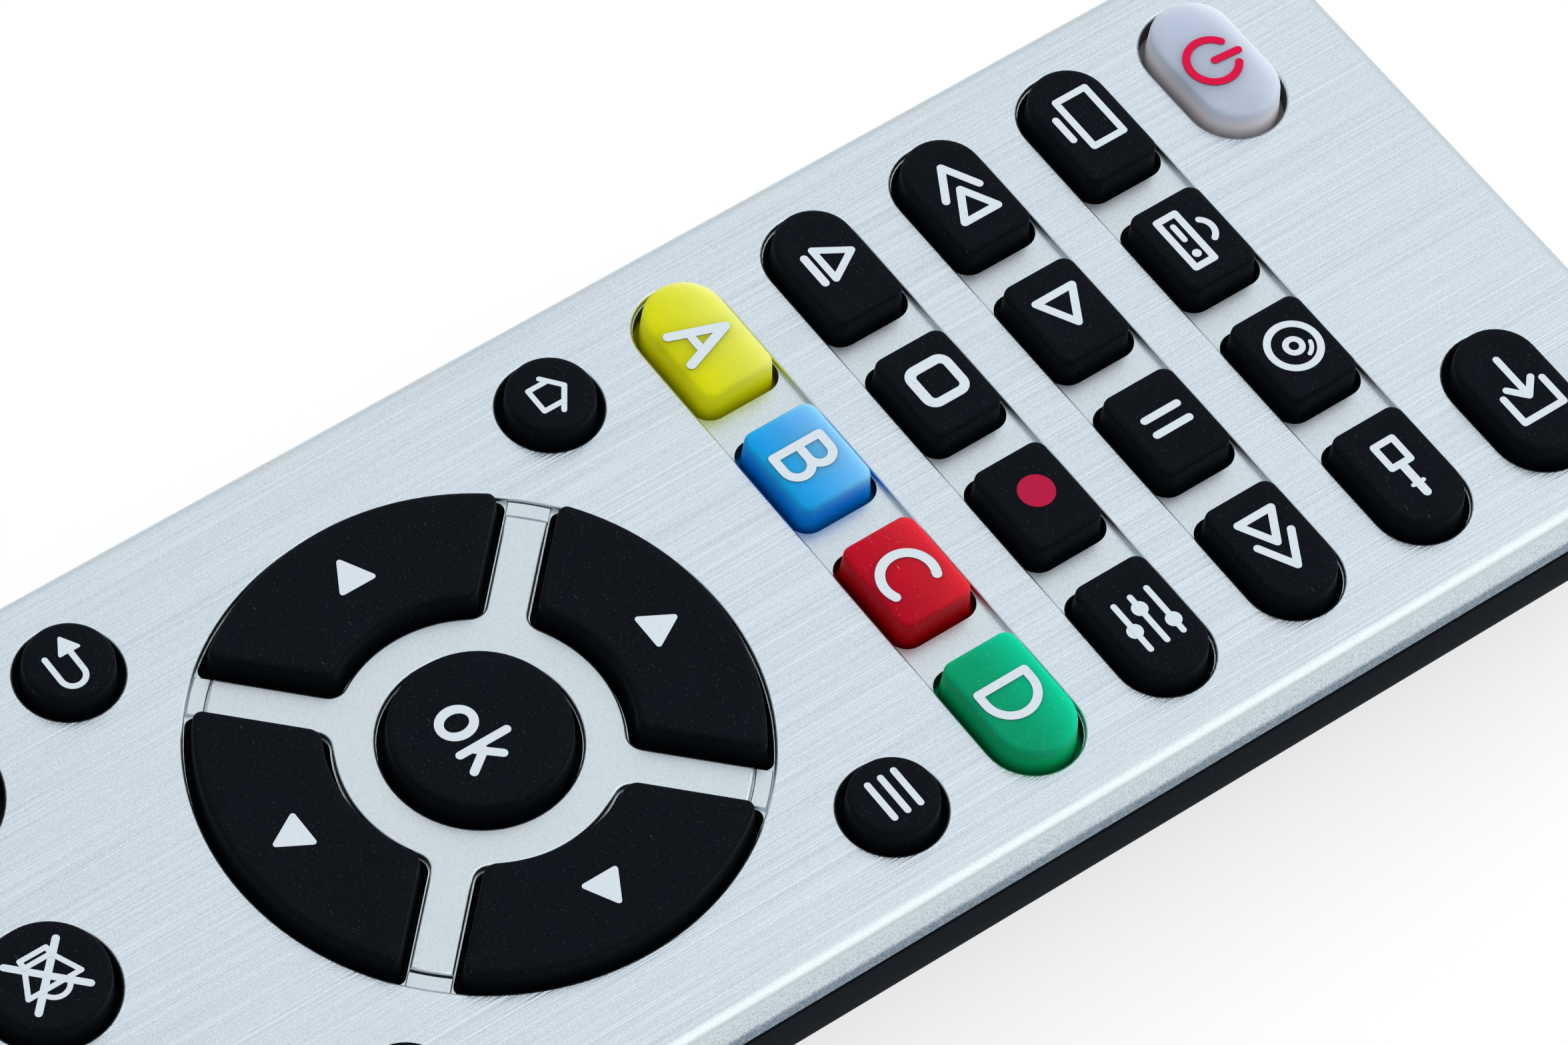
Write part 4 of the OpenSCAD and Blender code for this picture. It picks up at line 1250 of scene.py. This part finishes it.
def light_world():
    """White to the eye. As light and in reflections it is white overhead, dimmer low down and in front."""
    world = bpy.data.worlds.new("studio")
    bpy.context.scene.world = world
    world.use_nodes = True
    tree = world.node_tree
    rays = tree.nodes.new("ShaderNodeLightPath").outputs
    level = map_range(tree, seen_rays(tree, rays), 0, 1, WORLD_LIGHT, 1.0)
    generated = tree.nodes.new("ShaderNodeTexCoord").outputs["Generated"]
    direction = split_axes(tree, generated)
    dome = math_node(tree, "MULTIPLY", map_range(tree, direction["Z"], *OVERHEAD),
                     map_range(tree, direction["Y"], *BEHIND))
    towards = add_node(tree, "ShaderNodeVectorMath", {1: SOFT_BOX}, operation="DOT_PRODUCT")
    tree.links.new(generated, towards.inputs[0])
    glow = map_range(tree, towards.outputs["Value"], *SOFT_BOX_GLOW)
    dome = math_node(tree, "ADD", dome, math_node(tree, "MULTIPLY", glow, rays["Is Glossy Ray"]))
    shade = math_node(tree, "MAXIMUM", rays["Is Camera Ray"], dome)
    tree.links.new(math_node(tree, "MULTIPLY", level, shade), tree.nodes["Background"].inputs["Strength"])
    tree.nodes["Background"].inputs["Color"].default_value = (1, 1, 1, 1)


def make_lamp():
    """Main light: a square soft box that doesn't show in reflections itself."""
    lamp = bpy.data.lights.new("key_light", "AREA")
    lamp.size = LAMP_SIZE
    lamp.energy = LAMP_WATTS
    holder = bpy.data.objects.new("key_light", lamp)
    holder.location = LAMP_PLACE
    holder.rotation_mode = "QUATERNION"
    holder.rotation_quaternion = (LAMP_AIM - LAMP_PLACE).to_track_quat("-Z", "Y")
    holder.visible_glossy = False
    bpy.context.scene.collection.objects.link(holder)


def floor_paper():
    """Pale paper, nearly white to the eye and in reflections, that keeps its shadows."""
    material, tree, shader, at = new_material("floor_paper", Roughness=0.9)
    tone = map_range(tree, noise(tree, at, 30.0), 0.3, 0.7)
    tree.links.new(mix_colour(tree, tone, (0.9, 0.9, 0.905, 1), (0.92, 0.92, 0.925, 1)),
                   shader.inputs["Base Color"])
    white = add_node(tree, "ShaderNodeEmission", {"Strength": FLOOR_WHITE})
    lifted = add_node(tree, "ShaderNodeMixShader")
    seen = seen_rays(tree, tree.nodes.new("ShaderNodeLightPath").outputs)
    tree.links.new(map_range(tree, seen, 0, 1, 0.0, FLOOR_WHITE_SHARE), lifted.inputs[0])
    tree.links.new(shader.outputs[0], lifted.inputs[1])
    tree.links.new(white.outputs[0], lifted.inputs[2])
    tree.links.new(lifted.outputs[0], tree.nodes["Material Output"].inputs["Surface"])
    return material


def make_floor():
    """Plain pale floor just under the base."""
    bm = bmesh.new()
    bmesh.ops.create_grid(bm, x_segments=1, y_segments=1, size=FLOOR_HALF)
    bmesh.ops.translate(bm, vec=(0, 0, -FLOOR_DROP), verts=bm.verts)
    mesh = bpy.data.meshes.new("floor")
    bm.to_mesh(mesh)
    bm.free()
    mesh.materials.append(floor_paper())
    floor = bpy.data.objects.new("floor", mesh)
    bpy.context.scene.collection.objects.link(floor)


def make_camera():
    """Camera at the photograph's angle, turned about its own axis by the roll."""
    back = Vector((math.sin(AZIMUTH) * math.cos(ELEVATION), -math.cos(AZIMUTH) * math.cos(ELEVATION),
                   math.sin(ELEVATION)))
    right = (-back).cross(Vector((0, 0, 1))).normalized()
    up = right.cross(-back)
    tilted_right = right * math.cos(ROLL) + up * math.sin(ROLL)
    tilted_up = up * math.cos(ROLL) - right * math.sin(ROLL)
    camera = bpy.data.cameras.new("camera")
    camera.lens = LENS
    camera.sensor_width = SENSOR_W
    holder = bpy.data.objects.new("camera", camera)
    turn = Matrix((tilted_right, tilted_up, back)).transposed().to_4x4()
    holder.matrix_world = Matrix.Translation(AIM + back * DISTANCE) @ turn
    bpy.context.scene.collection.objects.link(holder)
    bpy.context.scene.camera = holder


light_world()
make_lamp()
make_floor()
make_camera()
bpy.context.scene.view_settings.view_transform = "Standard"
